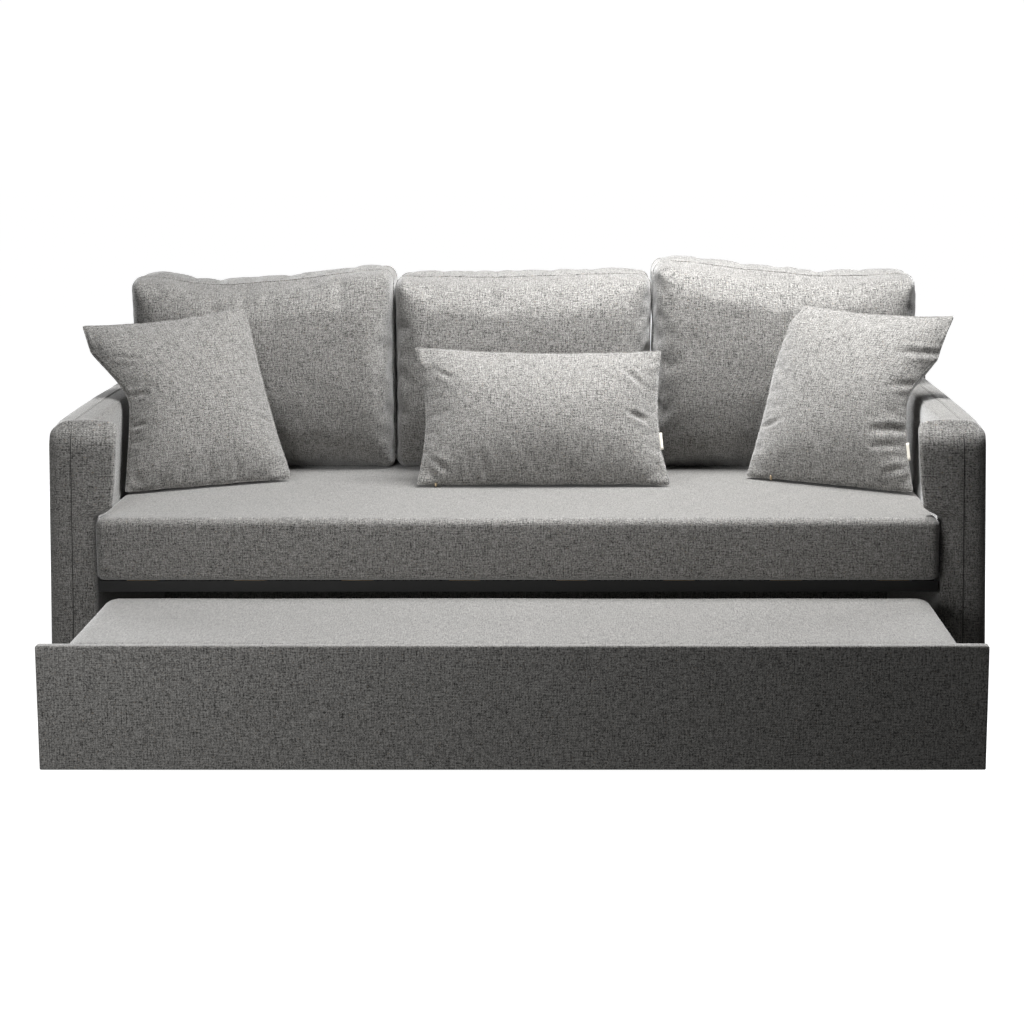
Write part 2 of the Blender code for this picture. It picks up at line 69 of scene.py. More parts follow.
class Wire:
    """A node's output that can stand in a sum, so that shader maths reads as plain Python."""

    def __init__(self, nodes: "Nodes", socket: bpy.types.NodeSocket) -> None:
        """Keep the socket and the tree it is in."""
        self.nodes = nodes
        self.socket = socket

    def _math(self, operation: str, *values: "Wire | float") -> "Wire":
        """Add a Math node on these values."""
        return self.nodes.add("ShaderNodeMath", {"operation": operation}, dict(enumerate(values)))

    def __add__(self, other: "Wire | float") -> "Wire":
        """Add."""
        return self._math("ADD", self, other)

    __radd__ = __add__

    def __sub__(self, other: "Wire | float") -> "Wire":
        """Take a value from this one."""
        return self._math("SUBTRACT", self, other)

    def __mul__(self, other: "Wire | float") -> "Wire":
        """Multiply."""
        return self._math("MULTIPLY", self, other)

    __rmul__ = __mul__

    def wave(self) -> "Wire":
        """The sine of this value."""
        return self._math("SINE", self)

    def spread(self, contrast: float) -> "Wire":
        """Stretch a noise value away from its middle, which stays at one half."""
        return (self - 0.5) * contrast + 0.5

    def above(self, start: float, full: float) -> "Wire":
        """A mask that rises from 0 at start to 1 at full."""
        ranges = {"From Min": start, "From Max": full, "To Min": 0.0, "To Max": 1.0}
        return self.nodes.add(
            "ShaderNodeMapRange", {"interpolation_type": "SMOOTHSTEP"}, {"Value": self, **ranges}
        )


class Nodes:
    """A node tree that is being built."""

    def __init__(self, tree: bpy.types.NodeTree) -> None:
        """Start on a tree, emptied of what it held."""
        self.tree = tree
        tree.nodes.clear()

    def add(
        self,
        kind: str,
        settings: dict[str, object] | None = None,
        values: dict[int | str, object] | None = None,
        output: int | str = 0,
    ) -> Wire:
        """Add a node.

        Args:
            kind: the node's type.
            settings: its properties, set first.
            values: a value or a Wire for each of its inputs, by name or number.
            output: the output that the Wire stands for.

        Returns:
            The output.
        """
        node = self.tree.nodes.new(kind)
        for name, setting in (settings or {}).items():
            setattr(node, name, setting)
        for key, value in (values or {}).items():
            if isinstance(value, Wire):
                self.tree.links.new(value.socket, node.inputs[key])
            else:
                node.inputs[key].default_value = value
        return Wire(self, node.outputs[output] if node.outputs else None)

    def noise(self, vector: Wire, scale: Point, detail: float = 1.0, seed: float = 0.0) -> Wire:
        """Noise whose grain has this many cells to the metre along each axis."""
        stretched = self.add("ShaderNodeVectorMath", {"operation": "MULTIPLY"}, {0: vector, 1: scale})
        values = {"Vector": stretched, "W": seed, "Scale": 1.0, "Detail": detail, "Roughness": 0.55}
        return self.add("ShaderNodeTexNoise", {"noise_dimensions": "4D"}, values)

    def mix(self, factor: "Wire | float", first: "Wire | Colour", second: "Wire | Colour") -> Wire:
        """A colour between two."""
        ends = [end if isinstance(end, Wire) else (*end, 1.0) for end in (first, second)]
        return self.add("ShaderNodeMix", {"data_type": "RGBA"}, {0: factor, 6: ends[0], 7: ends[1]}, 2)

    def axes(self, vector: Wire) -> list[Wire]:
        """A vector's three numbers."""
        split = self.add("ShaderNodeSeparateXYZ", None, {0: vector})
        return [Wire(self, socket) for socket in split.socket.node.outputs]


class Lie(Enum):
    """What a pattern is laid out on."""

    SEWN = "the piece's own flat cloth"
    SOLID = "the space the piece is in"


def shaded(name: str, fixed: dict[str, float | tuple[float, ...]]) -> tuple[bpy.types.Material, Nodes]:
    """Start a material.

    Args:
        name: the material's name.
        fixed: the shader's values that are the same all over.

    Returns:
        The material and its tree, with a shader wired to the output.
    """
    material = bpy.data.materials.new(name)
    material.use_nodes = True
    nodes = Nodes(material.node_tree)
    shader = nodes.add("ShaderNodeBsdfPrincipled", None, dict(fixed))
    nodes.add("ShaderNodeOutputMaterial", None, {"Surface": shader})
    return material, nodes


def shader_of(material: bpy.types.Material) -> bpy.types.ShaderNode:
    """A material's shader node."""
    return next(node for node in material.node_tree.nodes if node.type == "BSDF_PRINCIPLED")


def finish_with(
    material: bpy.types.Material, nodes: Nodes, varied: dict[str, Wire], height: Wire, depth: float
) -> None:
    """Wire what varies into the shader.

    Args:
        material: the material.
        nodes: its tree.
        varied: the Wire for each shader input.
        height: how high the surface stands, from 0 to 1.
        depth: the height of 1, in metres.
    """
    shader = shader_of(material)
    bump = nodes.add("ShaderNodeBump", None, {"Strength": 1.0, "Distance": depth, "Height": height})
    for name, wire in {**varied, "Normal": bump}.items():
        nodes.tree.links.new(wire.socket, shader.inputs[name])


# -------------------------------------------------------------------------------------------- finishes


@dataclass(frozen=True)
class Heather:
    """Plain woven cloth of dark and pale yarns spun together, with a few tan ones."""

    name: str
    lie: Lie
    dark: Colour = (0.036, 0.035, 0.033)
    pale: Colour = (0.365, 0.357, 0.342)
    bright: Colour = (0.46, 0.45, 0.43)
    tan: Colour = (0.30, 0.235, 0.17)
    yarn: float = 0.0026  # from one thread to the next
    slub: float = 0.020  # length of a thick or thin stretch of yarn
    grain: float = 0.0036
    depth: float = 0.0007
    stripes: float = 18.0  # from here on, cells to the metre
    patches: Point = (9.0, 9.0, 9.0)
    mottles: Point = (110.0, 75.0, 90.0)
    flecks: Point = (310.0, 310.0, 310.0)
    tan_yarns: Point = (150.0, 260.0, 200.0)

    def material(self) -> bpy.types.Material:
        """The cloth's material."""
        fixed = {"Sheen Weight": 0.55, "Sheen Roughness": 0.50, "Specular IOR Level": 0.25}
        material, nodes = shaded(self.name, fixed)
        if self.lie is Lie.SEWN:
            place = nodes.add("ShaderNodeUVMap", {"uv_map": WEAVE_MAP})
        else:
            place = nodes.add("ShaderNodeTexCoord", None, None, "Object")
        across, along, _ = nodes.axes(place)
        fine, long = 1 / self.yarn, 1 / self.slub
        warp = nodes.noise(place, (fine, long, fine), 1.5, 1.0)
        weft = nodes.noise(place, (long, fine, fine), 1.5, 2.0)
        speck = nodes.noise(place, (1 / self.grain,) * 3, 2.0, 3.0)
        streak = nodes.noise(place, (self.stripes, fine, self.stripes), 1.0, 4.0)
        rib = nodes.noise(place, (fine, self.stripes, self.stripes), 1.0, 5.0)
        patch = nodes.noise(place, self.patches, 3.0, 6.0)
        mottle = nodes.noise(place, self.mottles, 2.0, 9.0)
        shade = (
            speck.spread(6.0) * 0.40
            + warp.spread(5.6) * 0.20
            + weft.spread(5.6) * 0.20
            + streak.spread(5.0) * 0.10
            + rib.spread(5.0) * 0.10
            + patch.spread(1.2) * 0.12
            + (mottle - 0.5) * 0.45
            - 0.06
        )
        base = nodes.mix(shade, self.dark, self.pale)
        fleck = nodes.noise(place, self.flecks, 1.0, 7.0).above(0.66, 0.74)
        base = nodes.mix(fleck * 0.45, base, self.bright)
        warm = nodes.noise(place, self.tan_yarns, 1.0, 8.0).above(0.64, 0.72)
        base = nodes.mix(warm * 0.5, base, self.tan)
        turns = pi / self.yarn
        basket = (across * turns).wave() * (along * turns).wave()
        height = basket * 0.25 + speck * 0.5 + warp * 0.3 + weft * 0.3
        rough = speck * 0.15 + 0.80
        finish_with(material, nodes, {"Base Color": base, "Roughness": rough}, height, self.depth)
        return material


@dataclass(frozen=True)
class Wood:
    """Sawn softwood or plywood, with its grain along one axis."""

    name: str
    pale: Colour
    dark: Colour
    along: int
    ring: float = 0.011
    layered: bool = False
    ply: float = 0.003
    figure_along: float = 3.5  # from here on, cells to the metre
    fibre_along: float = 28.0
    fibre_across: float = 900.0
    depth: float = 0.00035  # of the surface, in metres

    def material(self) -> bpy.types.Material:
        """The wood's material."""
        material, nodes = shaded(self.name, {"Specular IOR Level": 0.35})
        place = nodes.add("ShaderNodeTexCoord", None, None, "Object")
        cells = [1 / self.ring] * 3
        cells[self.along] = self.figure_along
        figure = nodes.noise(place, tuple(cells), 2.0, 1.0)
        pores = [self.fibre_across] * 3
        pores[self.along] = self.fibre_along
        fibre = nodes.noise(place, tuple(pores), 2.0, 2.0)
        grain = (figure * 42.0).wave() * 0.22 + figure.spread(1.6) * 0.5 + 0.15
        if self.layered:
            plies = nodes.axes(place)[2] * (2 * pi / self.ply)
            grain = grain + plies.wave() * 0.10
        colour = nodes.mix(grain, self.pale, self.dark)
        colour = nodes.mix(fibre.above(0.58, 0.75) * 0.35, colour, self.dark)
        rough = fibre * 0.2 + 0.52
        varied = {"Base Color": colour, "Roughness": rough}
        finish_with(material, nodes, varied, fibre * 0.7 + grain * 0.3, self.depth)
        return material


@dataclass(frozen=True)
class Coat:
    """Painted, plated or moulded hardware with a fine texture and rubbed patches."""

    name: str
    colour: Colour
    worn: Colour
    rough: float
    metallic: float
    grain: float = 0.0012
    depth: float = 0.00012
    rubs: float = 26.0  # rubbed patches to the metre

    def material(self) -> bpy.types.Material:
        """The hardware's material."""
        material, nodes = shaded(self.name, {"Metallic": self.metallic})
        place = nodes.add("ShaderNodeTexCoord", None, None, "Object")
        orange_peel = nodes.noise(place, (1 / self.grain,) * 3, 2.0, 1.0)
        rub = nodes.noise(place, (self.rubs,) * 3, 4.0, 2.0)
        colour = nodes.mix(rub.above(0.52, 0.75) * 0.6, self.colour, self.worn)
        rough = rub * 0.22 + orange_peel * 0.08 + (self.rough - 0.15)
        finish_with(material, nodes, {"Base Color": colour, "Roughness": rough}, orange_peel, self.depth)
        return material


CLOTH = Heather("heather_cloth", Lie.SEWN)
CLOTH_SOLID = Heather("heather_cloth_trim", Lie.SOLID)
# painted shade: this dark finish stands in for the shadow in the groove of the arm's front seam
SEAM_SHADE = Coat("seam_shadow", (0.050, 0.048, 0.046), (0.075, 0.073, 0.070), 0.95, 0.0, 0.0007, 0.0002)
THREAD = Coat("grey_thread", (0.085, 0.083, 0.078), (0.13, 0.128, 0.12), 0.85, 0.0, 0.0006, 0.0002)
LABEL = Coat("cream_tape", (0.72, 0.69, 0.61), (0.60, 0.57, 0.50), 0.85, 0.0, 0.0007, 0.0002)
ZIP_METAL = Coat("zip_alloy", (0.42, 0.33, 0.22), (0.30, 0.23, 0.15), 0.42, 0.85)
PINE = {axis: Wood(f"pine_{'xyz'[axis]}", (0.62, 0.44, 0.25), (0.42, 0.26, 0.13), axis) for axis in range(3)}
BIRCH = {
    axis: Wood(f"birch_ply_{'xyz'[axis]}", (0.66, 0.50, 0.32), (0.48, 0.33, 0.19), axis, 0.016, True)
    for axis in range(3)
}
STEEL = Coat("black_powder_coat", (0.006, 0.006, 0.006), (0.012, 0.012, 0.012), 0.62, 0.0)
ZINC = Coat("zinc_plate", (0.58, 0.58, 0.56), (0.42, 0.42, 0.40), 0.38, 1.0)
MOULDED = Coat("black_moulding", (0.022, 0.022, 0.023), (0.040, 0.040, 0.040), 0.52, 0.0)
TYRE = Coat("grey_tyre", (0.085, 0.086, 0.088), (0.13, 0.13, 0.13), 0.66, 0.0, 0.0018, 0.00018)


class Shelf:
    """The finishes made so far, one material for each."""

    made: dict[str, bpy.types.Material] = {}

    @classmethod
    def take(cls, finish: Heather | Wood | Coat) -> bpy.types.Material:
        """The material of a finish, made the first time it is asked for."""
        if finish.name not in cls.made:
            cls.made[finish.name] = finish.material()
        return cls.made[finish.name]


# ----------------------------------------------------------------------------------------- mesh making


def coordinates(mesh: bpy.types.Mesh) -> np.ndarray:
    """A mesh's points, one row each."""
    flat = np.empty(len(mesh.vertices) * 3)
    mesh.vertices.foreach_get("co", flat)
    return flat.reshape(-1, 3)


def set_coordinates(mesh: bpy.types.Mesh, points: np.ndarray) -> None:
    """Move a mesh's points."""
    mesh.vertices.foreach_set("co", points.ravel())
    mesh.update()


def normals(mesh: bpy.types.Mesh) -> np.ndarray:
    """The direction outwards at each point."""
    flat = np.empty(len(mesh.vertices) * 3)
    mesh.vertex_normals.foreach_get("vector", flat)
    return flat.reshape(-1, 3)


def smoothstep(start: float, full: float, value: np.ndarray) -> np.ndarray:
    """Rise smoothly from 0 at start to 1 at full."""
    part = np.clip((value - start) / (full - start), 0, 1)
    return part * part * (3 - 2 * part)


def ripple(points: np.ndarray, size: float, seed: float) -> np.ndarray:
    """Smooth unevenness from -1 to 1, with bumps of about this size."""
    shift = Vector((seed, -seed, seed * 0.5))
    return np.array([noise.noise(Vector(point) / size + shift) for point in points])


def make_object(
    name: str,
    points: Sequence[Sequence[float]] | np.ndarray,
    faces: Sequence[Sequence[int]],
    flat: Sequence[tuple[float, float]] | None = None,
    edges: Sequence[tuple[int, int]] = (),
) -> bpy.types.Object:
    """Link a new mesh object.

    Args:
        name: the object's name.
        points: its points.
        faces: the points of each face.
        flat: where each face corner lies on the flat cloth, in metres.
        edges: loose edges.

    Returns:
        The object, at the origin.
    """
    mesh = bpy.data.meshes.new(name)
    mesh.from_pydata([tuple(p) for p in points], list(edges), [tuple(f) for f in faces])
    if flat is not None:
        layer = mesh.uv_layers.new(name=WEAVE_MAP)
        layer.data.foreach_set("uv", np.asarray(flat, dtype=float).ravel())
    mesh.polygons.foreach_set("use_smooth", [True] * len(mesh.polygons))
    mesh.update()
    thing = bpy.data.objects.new(name, mesh)
    bpy.context.scene.collection.objects.link(thing)
    return thing


def evaluated_mesh(thing: bpy.types.Object) -> bpy.types.Mesh:
    """A plain copy of an object's mesh with its modifiers applied."""
    graph = bpy.context.evaluated_depsgraph_get()
    return bpy.data.meshes.new_from_object(thing.evaluated_get(graph))


def apply_modifiers(thing: bpy.types.Object) -> None:
    """Turn an object's modifiers into its mesh."""
    mesh = evaluated_mesh(thing)
    thing.modifiers.clear()
    thing.data = mesh


def subdivide(thing: bpy.types.Object, levels: int = 1) -> None:
    """Round and refine a mesh."""
    step = thing.modifiers.new("refine", "SUBSURF")
    step.levels = step.render_levels = levels
    step.uv_smooth = "NONE"
    apply_modifiers(thing)


def open_below(thing: bpy.types.Object, level: float) -> None:
    """Take away a cover's faces below a height, where it is open onto its frame."""
    shape = bmesh.new()
    shape.from_mesh(thing.data)
    under = [face for face in shape.faces if abs(face.normal.z) > 0.9 and face.calc_center_median().z < level]
    bmesh.ops.delete(shape, geom=under, context="FACES")
    shape.to_mesh(thing.data)
    shape.free()


def give_wall(cover: bpy.types.Object, thickness: float) -> None:
    """Turn a cover's single sheet into a wall that reaches inwards."""
    wall = cover.modifiers.new("wall", "SOLIDIFY")
    wall.thickness = thickness
    wall.offset = -1
    wall.use_even_offset = True
    apply_modifiers(cover)
    cover.data.polygons.foreach_set("use_smooth", [True] * len(cover.data.polygons))


def surface_of(thing: bpy.types.Object) -> BVHTree:
    """A piece's faces, ready to be searched."""
    return BVHTree.FromPolygons(
        [v.co for v in thing.data.vertices], [tuple(p.vertices) for p in thing.data.polygons]
    )


def grid_ring(columns: int, rows: int) -> list[tuple[int, int]]:
    """The points round the edge of a grid, in order, each as its column and row."""
    ring = [(i, 0) for i in range(columns)] + [(columns, j) for j in range(rows)]
    return ring + [(i, rows) for i in range(columns, 0, -1)] + [(0, j) for j in range(rows, 0, -1)]


def grid_key(axis: int, line: int, first: int, second: int) -> tuple[int, int, int]:
    """The grid lines, in the order X, Y, Z, of a point on one line of an axis and on two of the next axes."""
    key = [0, 0, 0]
    key[axis], key[(axis + 1) % 3], key[(axis + 2) % 3] = line, first, second
    return tuple(key)


def dress(
    thing: bpy.types.Object, finish: Heather | Wood | Coat, body: str, replaces: Sequence[str] = ()
) -> bpy.types.Object:
    """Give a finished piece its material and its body.

    Args:
        thing: the piece.
        finish: its finish.
        body: the body it moves with.
        replaces: the nodes it stands for.

    Returns:
        The piece.
    """
    thing.data.materials.clear()
    thing.data.materials.append(Shelf.take(finish))
    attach(thing, body)
    if replaces:
        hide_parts(*replaces)
    LOG.info("%s: %d faces on %s", thing.name, len(thing.data.polygons), body)
    return thing


@dataclass
class SoftBox:
    """A closed box of even quads whose sides meet in rounded edges.

    low and high are its corners. rounds holds the radius on the low and high side of each axis.
    """

    low: Point
    high: Point
    rounds: tuple[tuple[float, float], tuple[float, float], tuple[float, float]]
    cell: float
    arc: int = 4
    lattice: dict[tuple[int, int, int], int] = field(default_factory=dict)

    def rungs(self, axis: int) -> np.ndarray:
        """Places of the grid lines along an axis, closer where the ends are rounded."""
        low, high = self.low[axis], self.high[axis]
        near, far = self.rounds[axis]
        turns = [tan(radians(45 * step / self.arc)) for step in range(self.arc, 0, -1)]
        count = max(2, round((high - low - near - far) / self.cell))
        middle = np.linspace(low + near, high - far, count + 1)
        return np.concatenate(
            [[low + near * (1 - t) for t in turns], middle, [high - far * (1 - t) for t in reversed(turns)]]
        )

    def build(self, name: str, warp: Callable[[np.ndarray], np.ndarray] | None = None) -> bpy.types.Object:
        """Make the box.

        Args:
            name: the object's name.
            warp: moves the points once they are rounded.

        Returns:
            The object.
        """
        lines = [self.rungs(axis) for axis in range(3)]
        last = [len(line) - 1 for line in lines]
        points: list[list[float]] = []

        def index(key: tuple[int, int, int]) -> int:
            """The point on three grid lines."""
            if key not in self.lattice:
                self.lattice[key] = len(points)
                points.append([lines[axis][key[axis]] for axis in range(3)])
            return self.lattice[key]

        faces: list[list[int]] = []
        flat: list[tuple[float, float]] = []
        for axis in range(3):
            first, second = (axis + 1) % 3, (axis + 2) % 3
            for end in (0, last[axis]):
                for i in range(last[first]):
                    for j in range(last[second]):
                        ring = [(i, j), (i + 1, j), (i + 1, j + 1), (i, j + 1)]
                        if end == 0:
                            ring.reverse()
                        corners = []
                        for a, b in ring:
                            corners.append(index(grid_key(axis, end, a, b)))
                            place = (lines[first][a], lines[second][b])
                            flat.append(place[::-1] if axis == 1 else place)
                        faces.append(corners)
        cloud = np.array(points)
        low, high = np.array(self.low), np.array(self.high)
        near = np.array([pair[0] for pair in self.rounds])
        far = np.array([pair[1] for pair in self.rounds])
        core = np.clip(cloud, low + near, high - far)
        radius = np.where(cloud < core, near, far)
        reach = (cloud - core) / radius
        reach /= np.linalg.norm(reach, axis=1, keepdims=True)
        cloud = core + reach * radius
        if warp is not None:
            cloud = warp(cloud)
        return make_object(name, cloud, faces, flat)

    def edge_loop(self, axis: int, line: int) -> list[int]:
        """Point numbers round the box, in order.

        Args:
            axis: the axis that the loop goes round.
            line: the grid line along that axis, counted from the end where it is negative.

        Returns:
            The point numbers.
        """
        size = [len(self.rungs(a)) - 1 for a in range(3)]
        ring = grid_ring(size[(axis + 1) % 3], size[(axis + 2) % 3])
        return [self.lattice[grid_key(axis, line % (size[axis] + 1), a, b)] for a, b in ring]


@dataclass(frozen=True)
class Fold:
    """A crease pressed into cloth along a line, with the cloth raised a little beside it."""

    start: tuple[float, float]
    end: tuple[float, float]
    depth: float
    width: float

    def press(self, points: np.ndarray) -> np.ndarray:
        """How far the fold moves each point outwards. The points are on the flat."""
        start, run = np.array(self.start), np.array(self.end) - np.array(self.start)
        part = np.clip((points - start) @ run / (run @ run), 0, 1)
        gap = np.linalg.norm(points - (start + part[:, None] * run), axis=1) / self.width
        fade = np.sin(pi * np.clip(part * 0.9 + 0.05, 0, 1)) ** 0.6
        return -self.depth * fade * (np.exp(-(gap**2)) - 0.45 * np.exp(-((gap - 2.0) ** 2)))


def press_folds(
    thing: bpy.types.Object, folds: Sequence[Fold], plane: tuple[int, int], facing: Point
) -> None:
    """Press folds into the side of a piece that faces one way.

    Args:
        thing: the piece.
        folds: the folds, drawn on a plane.
        plane: the two axes of that plane.
        facing: the way the side faces.
    """
    points = coordinates(thing.data)
    outward = normals(thing.data)
    toward = smoothstep(0.0, 0.5, outward @ np.array(facing))
    drawn = points[:, list(plane)]
    for fold in folds:
        points += outward * (fold.press(drawn) * toward)[:, None]
    set_coordinates(thing.data, points)


@dataclass(frozen=True)
class Swell:
    """How a stuffed case is blown up from inside until its cloth is taut."""

    pressure: float
    frames: int
    cap: float
    tension: float = 20.0
    bending: float = 0.6
    spare: float = 0.0

    def run(self, thing: bpy.types.Object, seam: Sequence[int]) -> None:
        """Swell a piece.

        Args:
            thing: the case.
            seam: its seam's points, which hold still. The cloth between them has spare length to gather.
        """
        before = coordinates(thing.data)
        step = thing.modifiers.new("swell", "CLOTH")
        cloth = step.settings
        cloth.quality = 6
        cloth.mass = 0.25
        cloth.air_damping = 2.0
        cloth.tension_stiffness = cloth.compression_stiffness = self.tension
        cloth.shear_stiffness = self.tension / 3
        cloth.bending_stiffness = self.bending
        cloth.use_pressure = True
        cloth.uniform_pressure_force = self.pressure
        cloth.effector_weights.gravity = 0
        step.collision_settings.use_collision = False
        cloth.shrink_min = -self.spare
        group = thing.vertex_groups.new(name="seam")
        group.add(list(seam), 1.0, "REPLACE")
        cloth.vertex_group_mass = "seam"
        step.point_cache.frame_start = 1
        step.point_cache.frame_end = self.frames
        scene = bpy.context.scene
        for now in range(1, self.frames + 1):
            scene.frame_set(now)
        graph = bpy.context.evaluated_depsgraph_get()
        after = coordinates(thing.evaluated_get(graph).data)
        thing.modifiers.remove(step)
        thing.vertex_groups.clear()
        scene.frame_set(1)
        move = after - before
        length = np.linalg.norm(move, axis=1, keepdims=True)
        set_coordinates(thing.data, before + move * np.minimum(1, self.cap / np.maximum(length, 1e-9)))


# -------------------------------------------------------------------------------- Geometry Nodes recipes


class Recipe:
    """A Geometry Nodes tree with named inputs, run on a mesh of paths or points."""

    def __init__(self, name: str, inputs: dict[str, tuple[str, object]]) -> None:
        """Make a tree.

        Args:
            name: the tree's name.
            inputs: the type and the usual value of each input.
        """
        self.tree = bpy.data.node_groups.new(name, "GeometryNodeTree")
        self.nodes = Nodes(self.tree)
        self.idents: dict[str, str] = {}
        self.tree.interface.new_socket("Paths", in_out="INPUT", socket_type="NodeSocketGeometry")
        for label, (kind, value) in inputs.items():
            socket = self.tree.interface.new_socket(label, in_out="INPUT", socket_type=kind)
            if value is not None:
                socket.default_value = value
            self.idents[label] = socket.identifier
        self.tree.interface.new_socket("Result", in_out="OUTPUT", socket_type="NodeSocketGeometry")
        self.given = self.tree.nodes.new("NodeGroupInput")

    def input(self, label: str) -> Wire:
        """The wire of a named input."""
        return Wire(self.nodes, self.given.outputs[label])

    def close(self, shape: Wire) -> None:
        """End the tree: real geometry, smooth, with its material."""
        real = self.nodes.add("GeometryNodeRealizeInstances", None, {0: shape})
        smooth = self.nodes.add("GeometryNodeSetShadeSmooth", None, {"Geometry": real})
        painted = self.nodes.add(
            "GeometryNodeSetMaterial", None, {"Geometry": smooth, "Material": self.input("Material")}
        )
        self.nodes.add("NodeGroupOutput", None, {0: painted})

    def rows(self, step: str) -> Wire:
        """The paths as curves, with points as far apart as this input says."""
        curve = self.nodes.add("GeometryNodeMeshToCurve", None, {0: self.input("Paths")})
        values = {"Curve": curve, "Length": self.input(step)}
        return self.nodes.add("GeometryNodeResampleCurve", {"mode": "LENGTH"}, values)

    def bead(self, sides: Wire | int, rings: int, size: Wire) -> Wire:
        """A ball of radius 1, stretched to a size."""
        values = {"Segments": sides, "Rings": rings, "Radius": 1.0}
        ball = self.nodes.add("GeometryNodeMeshUVSphere", None, values)
        return self.nodes.add("GeometryNodeTransform", None, {"Geometry": ball, "Scale": size})

    def close_with_beads(self, points: Wire, bead: Wire, axis: str, heading: Wire) -> None:
        """End the tree with a bead on each point, turned so that its axis runs along the heading."""
        turn = self.nodes.add("FunctionNodeAlignRotationToVector", {"axis": axis}, {"Vector": heading})
        values = {"Points": points, "Instance": bead, "Rotation": turn}
        self.close(self.nodes.add("GeometryNodeInstanceOnPoints", None, values))

    def run(self, name: str, paths: bpy.types.Object, values: dict[str, object]) -> bpy.types.Object:
        """Run the tree and keep the result as a plain mesh.

        Args:
            name: the new object's name.
            paths: the object whose mesh holds the paths, which is used up.
            values: the inputs that aren't as usual.

        Returns:
            The new object.
        """
        step = paths.modifiers.new(name, "NODES")
        step.node_group = self.tree
        for label, value in values.items():
            step[self.idents[label]] = value
        mesh = evaluated_mesh(paths)
        mesh.name = name
        bpy.data.objects.remove(paths, do_unlink=True)
        thing = bpy.data.objects.new(name, mesh)
        bpy.context.scene.collection.objects.link(thing)
        return thing


def stitch_recipe() -> Recipe:
    """Stitches in a row along each path."""
    recipe = Recipe(
        "stitch_row",
        {
            "Spacing": ("NodeSocketFloat", 0.0065),
            "Length": ("NodeSocketFloat", 0.0021),
            "Thickness": ("NodeSocketFloat", 0.00055),
            "Material": ("NodeSocketMaterial", None),
        },
    )
    sides = [recipe.input(label) for label in ("Length", "Thickness", "Thickness")]
    size = recipe.nodes.add("ShaderNodeCombineXYZ", None, dict(enumerate(sides)))
    heading = recipe.nodes.add("GeometryNodeInputTangent")
    recipe.close_with_beads(recipe.rows("Spacing"), recipe.bead(6, 4, size), "X", heading)
    return recipe


def welt_recipe() -> Recipe:
    """A thin roll of cloth along each path, as where two panels are sewn together."""
    recipe = Recipe(
        "seam_welt",
        {
            "Radius": ("NodeSocketFloat", 0.0016),
            "Step": ("NodeSocketFloat", 0.006),
            "Material": ("NodeSocketMaterial", None),
        },
    )
    values = {"Resolution": 8, "Radius": recipe.input("Radius")}
    ring = recipe.nodes.add("GeometryNodeCurvePrimitiveCircle", None, values)
    values = {"Curve": recipe.rows("Step"), "Profile Curve": ring, "Fill Caps": True}
    recipe.close(recipe.nodes.add("GeometryNodeCurveToMesh", None, values))
    return recipe


def stud_recipe() -> Recipe:
    """A domed head on each point, such as a screw's or a cap's, facing the way it is given."""
    recipe = Recipe(
        "stud_heads",
        {
            "Size": ("NodeSocketVector", (0.0045, 0.0045, 0.0016)),
            "Facing": ("NodeSocketVector", (0.0, 0.0, 1.0)),
            "Sides": ("NodeSocketInt", 12),
            "Material": ("NodeSocketMaterial", None),
        },
    )
    paths = {0: recipe.input("Paths")}
    points = recipe.nodes.add("GeometryNodeMeshToPoints", {"mode": "VERTICES"}, paths)
    head = recipe.bead(recipe.input("Sides"), 6, recipe.input("Size"))
    recipe.close_with_beads(points, head, "Z", recipe.input("Facing"))
    return recipe


class Sewing:
    """Runs of seams and stitches, laid on the cloth under them."""

    def __init__(self) -> None:
        """Make the trees that every run uses."""
        self.stitches = stitch_recipe()
        self.welts = welt_recipe()
        self.studs = stud_recipe()

    @staticmethod
    def paths(runs: Sequence[np.ndarray], closed: bool = False) -> bpy.types.Object:
        """A mesh object of edges along each run."""
        points: list[np.ndarray] = []
        edges: list[tuple[int, int]] = []
        for run in runs:
            start = len(points)
            points.extend(run)
            edges += [(start + i, start + i + 1) for i in range(len(run) - 1)]
            if closed:
                edges.append((start + len(run) - 1, start))
        return make_object("paths", points, [], None, edges)

    def welt(
        self,
        name: str,
        runs: Sequence[np.ndarray],
        body: str,
        radius: float = 0.0016,
        closed: bool = False,
        finish: Heather | Coat = CLOTH_SOLID,
    ) -> bpy.types.Object:
        """Lay a welt along each run, and dress it."""
        values = {"Radius": radius, "Material": Shelf.take(finish)}
        made = self.welts.run(name, self.paths(runs, closed), values)
        return dress(made, finish, body)

    def stitch(self, name: str, runs: Sequence[np.ndarray], body: str) -> bpy.types.Object:
        """Lay a row of stitches along each run, and dress it."""
        made = self.stitches.run(name, self.paths(runs), {"Material": Shelf.take(THREAD)})
        return dress(made, THREAD, body)

    def stud(
        self, name: str, points: Sequence[Point], facing: Point, size: Point, finish: Coat, body: str
    ) -> bpy.types.Object:
        """Set a metal head on each point, and dress it."""
        values = {"Size": size, "Facing": facing, "Material": Shelf.take(finish)}
        made = self.studs.run(name, make_object("points", points, []), values)
        return dress(made, finish, body)


def lay_on(thing: bpy.types.Object, run: Sequence[Sequence[float]], toward: Point) -> np.ndarray:
    """Drop a path onto a piece.

    Args:
        thing: the piece.
        run: points off its surface.
        toward: the direction in which they fall.

    Returns:
        The points on the surface.
    """
    surface = surface_of(thing)
    landed = []
    for point in run:
        hit, normal, _, _ = surface.ray_cast(Vector(point), Vector(toward))
        if hit is not None:
            landed.append(hit + normal * ON_CLOTH)
    return np.array([tuple(point) for point in landed])


def settle(thing: bpy.types.Object, run: np.ndarray) -> np.ndarray:
    """Bring a path to the nearest places on a piece."""
    surface = surface_of(thing)
    return np.array([tuple(surface.find_nearest(Vector(point))[0]) for point in run])


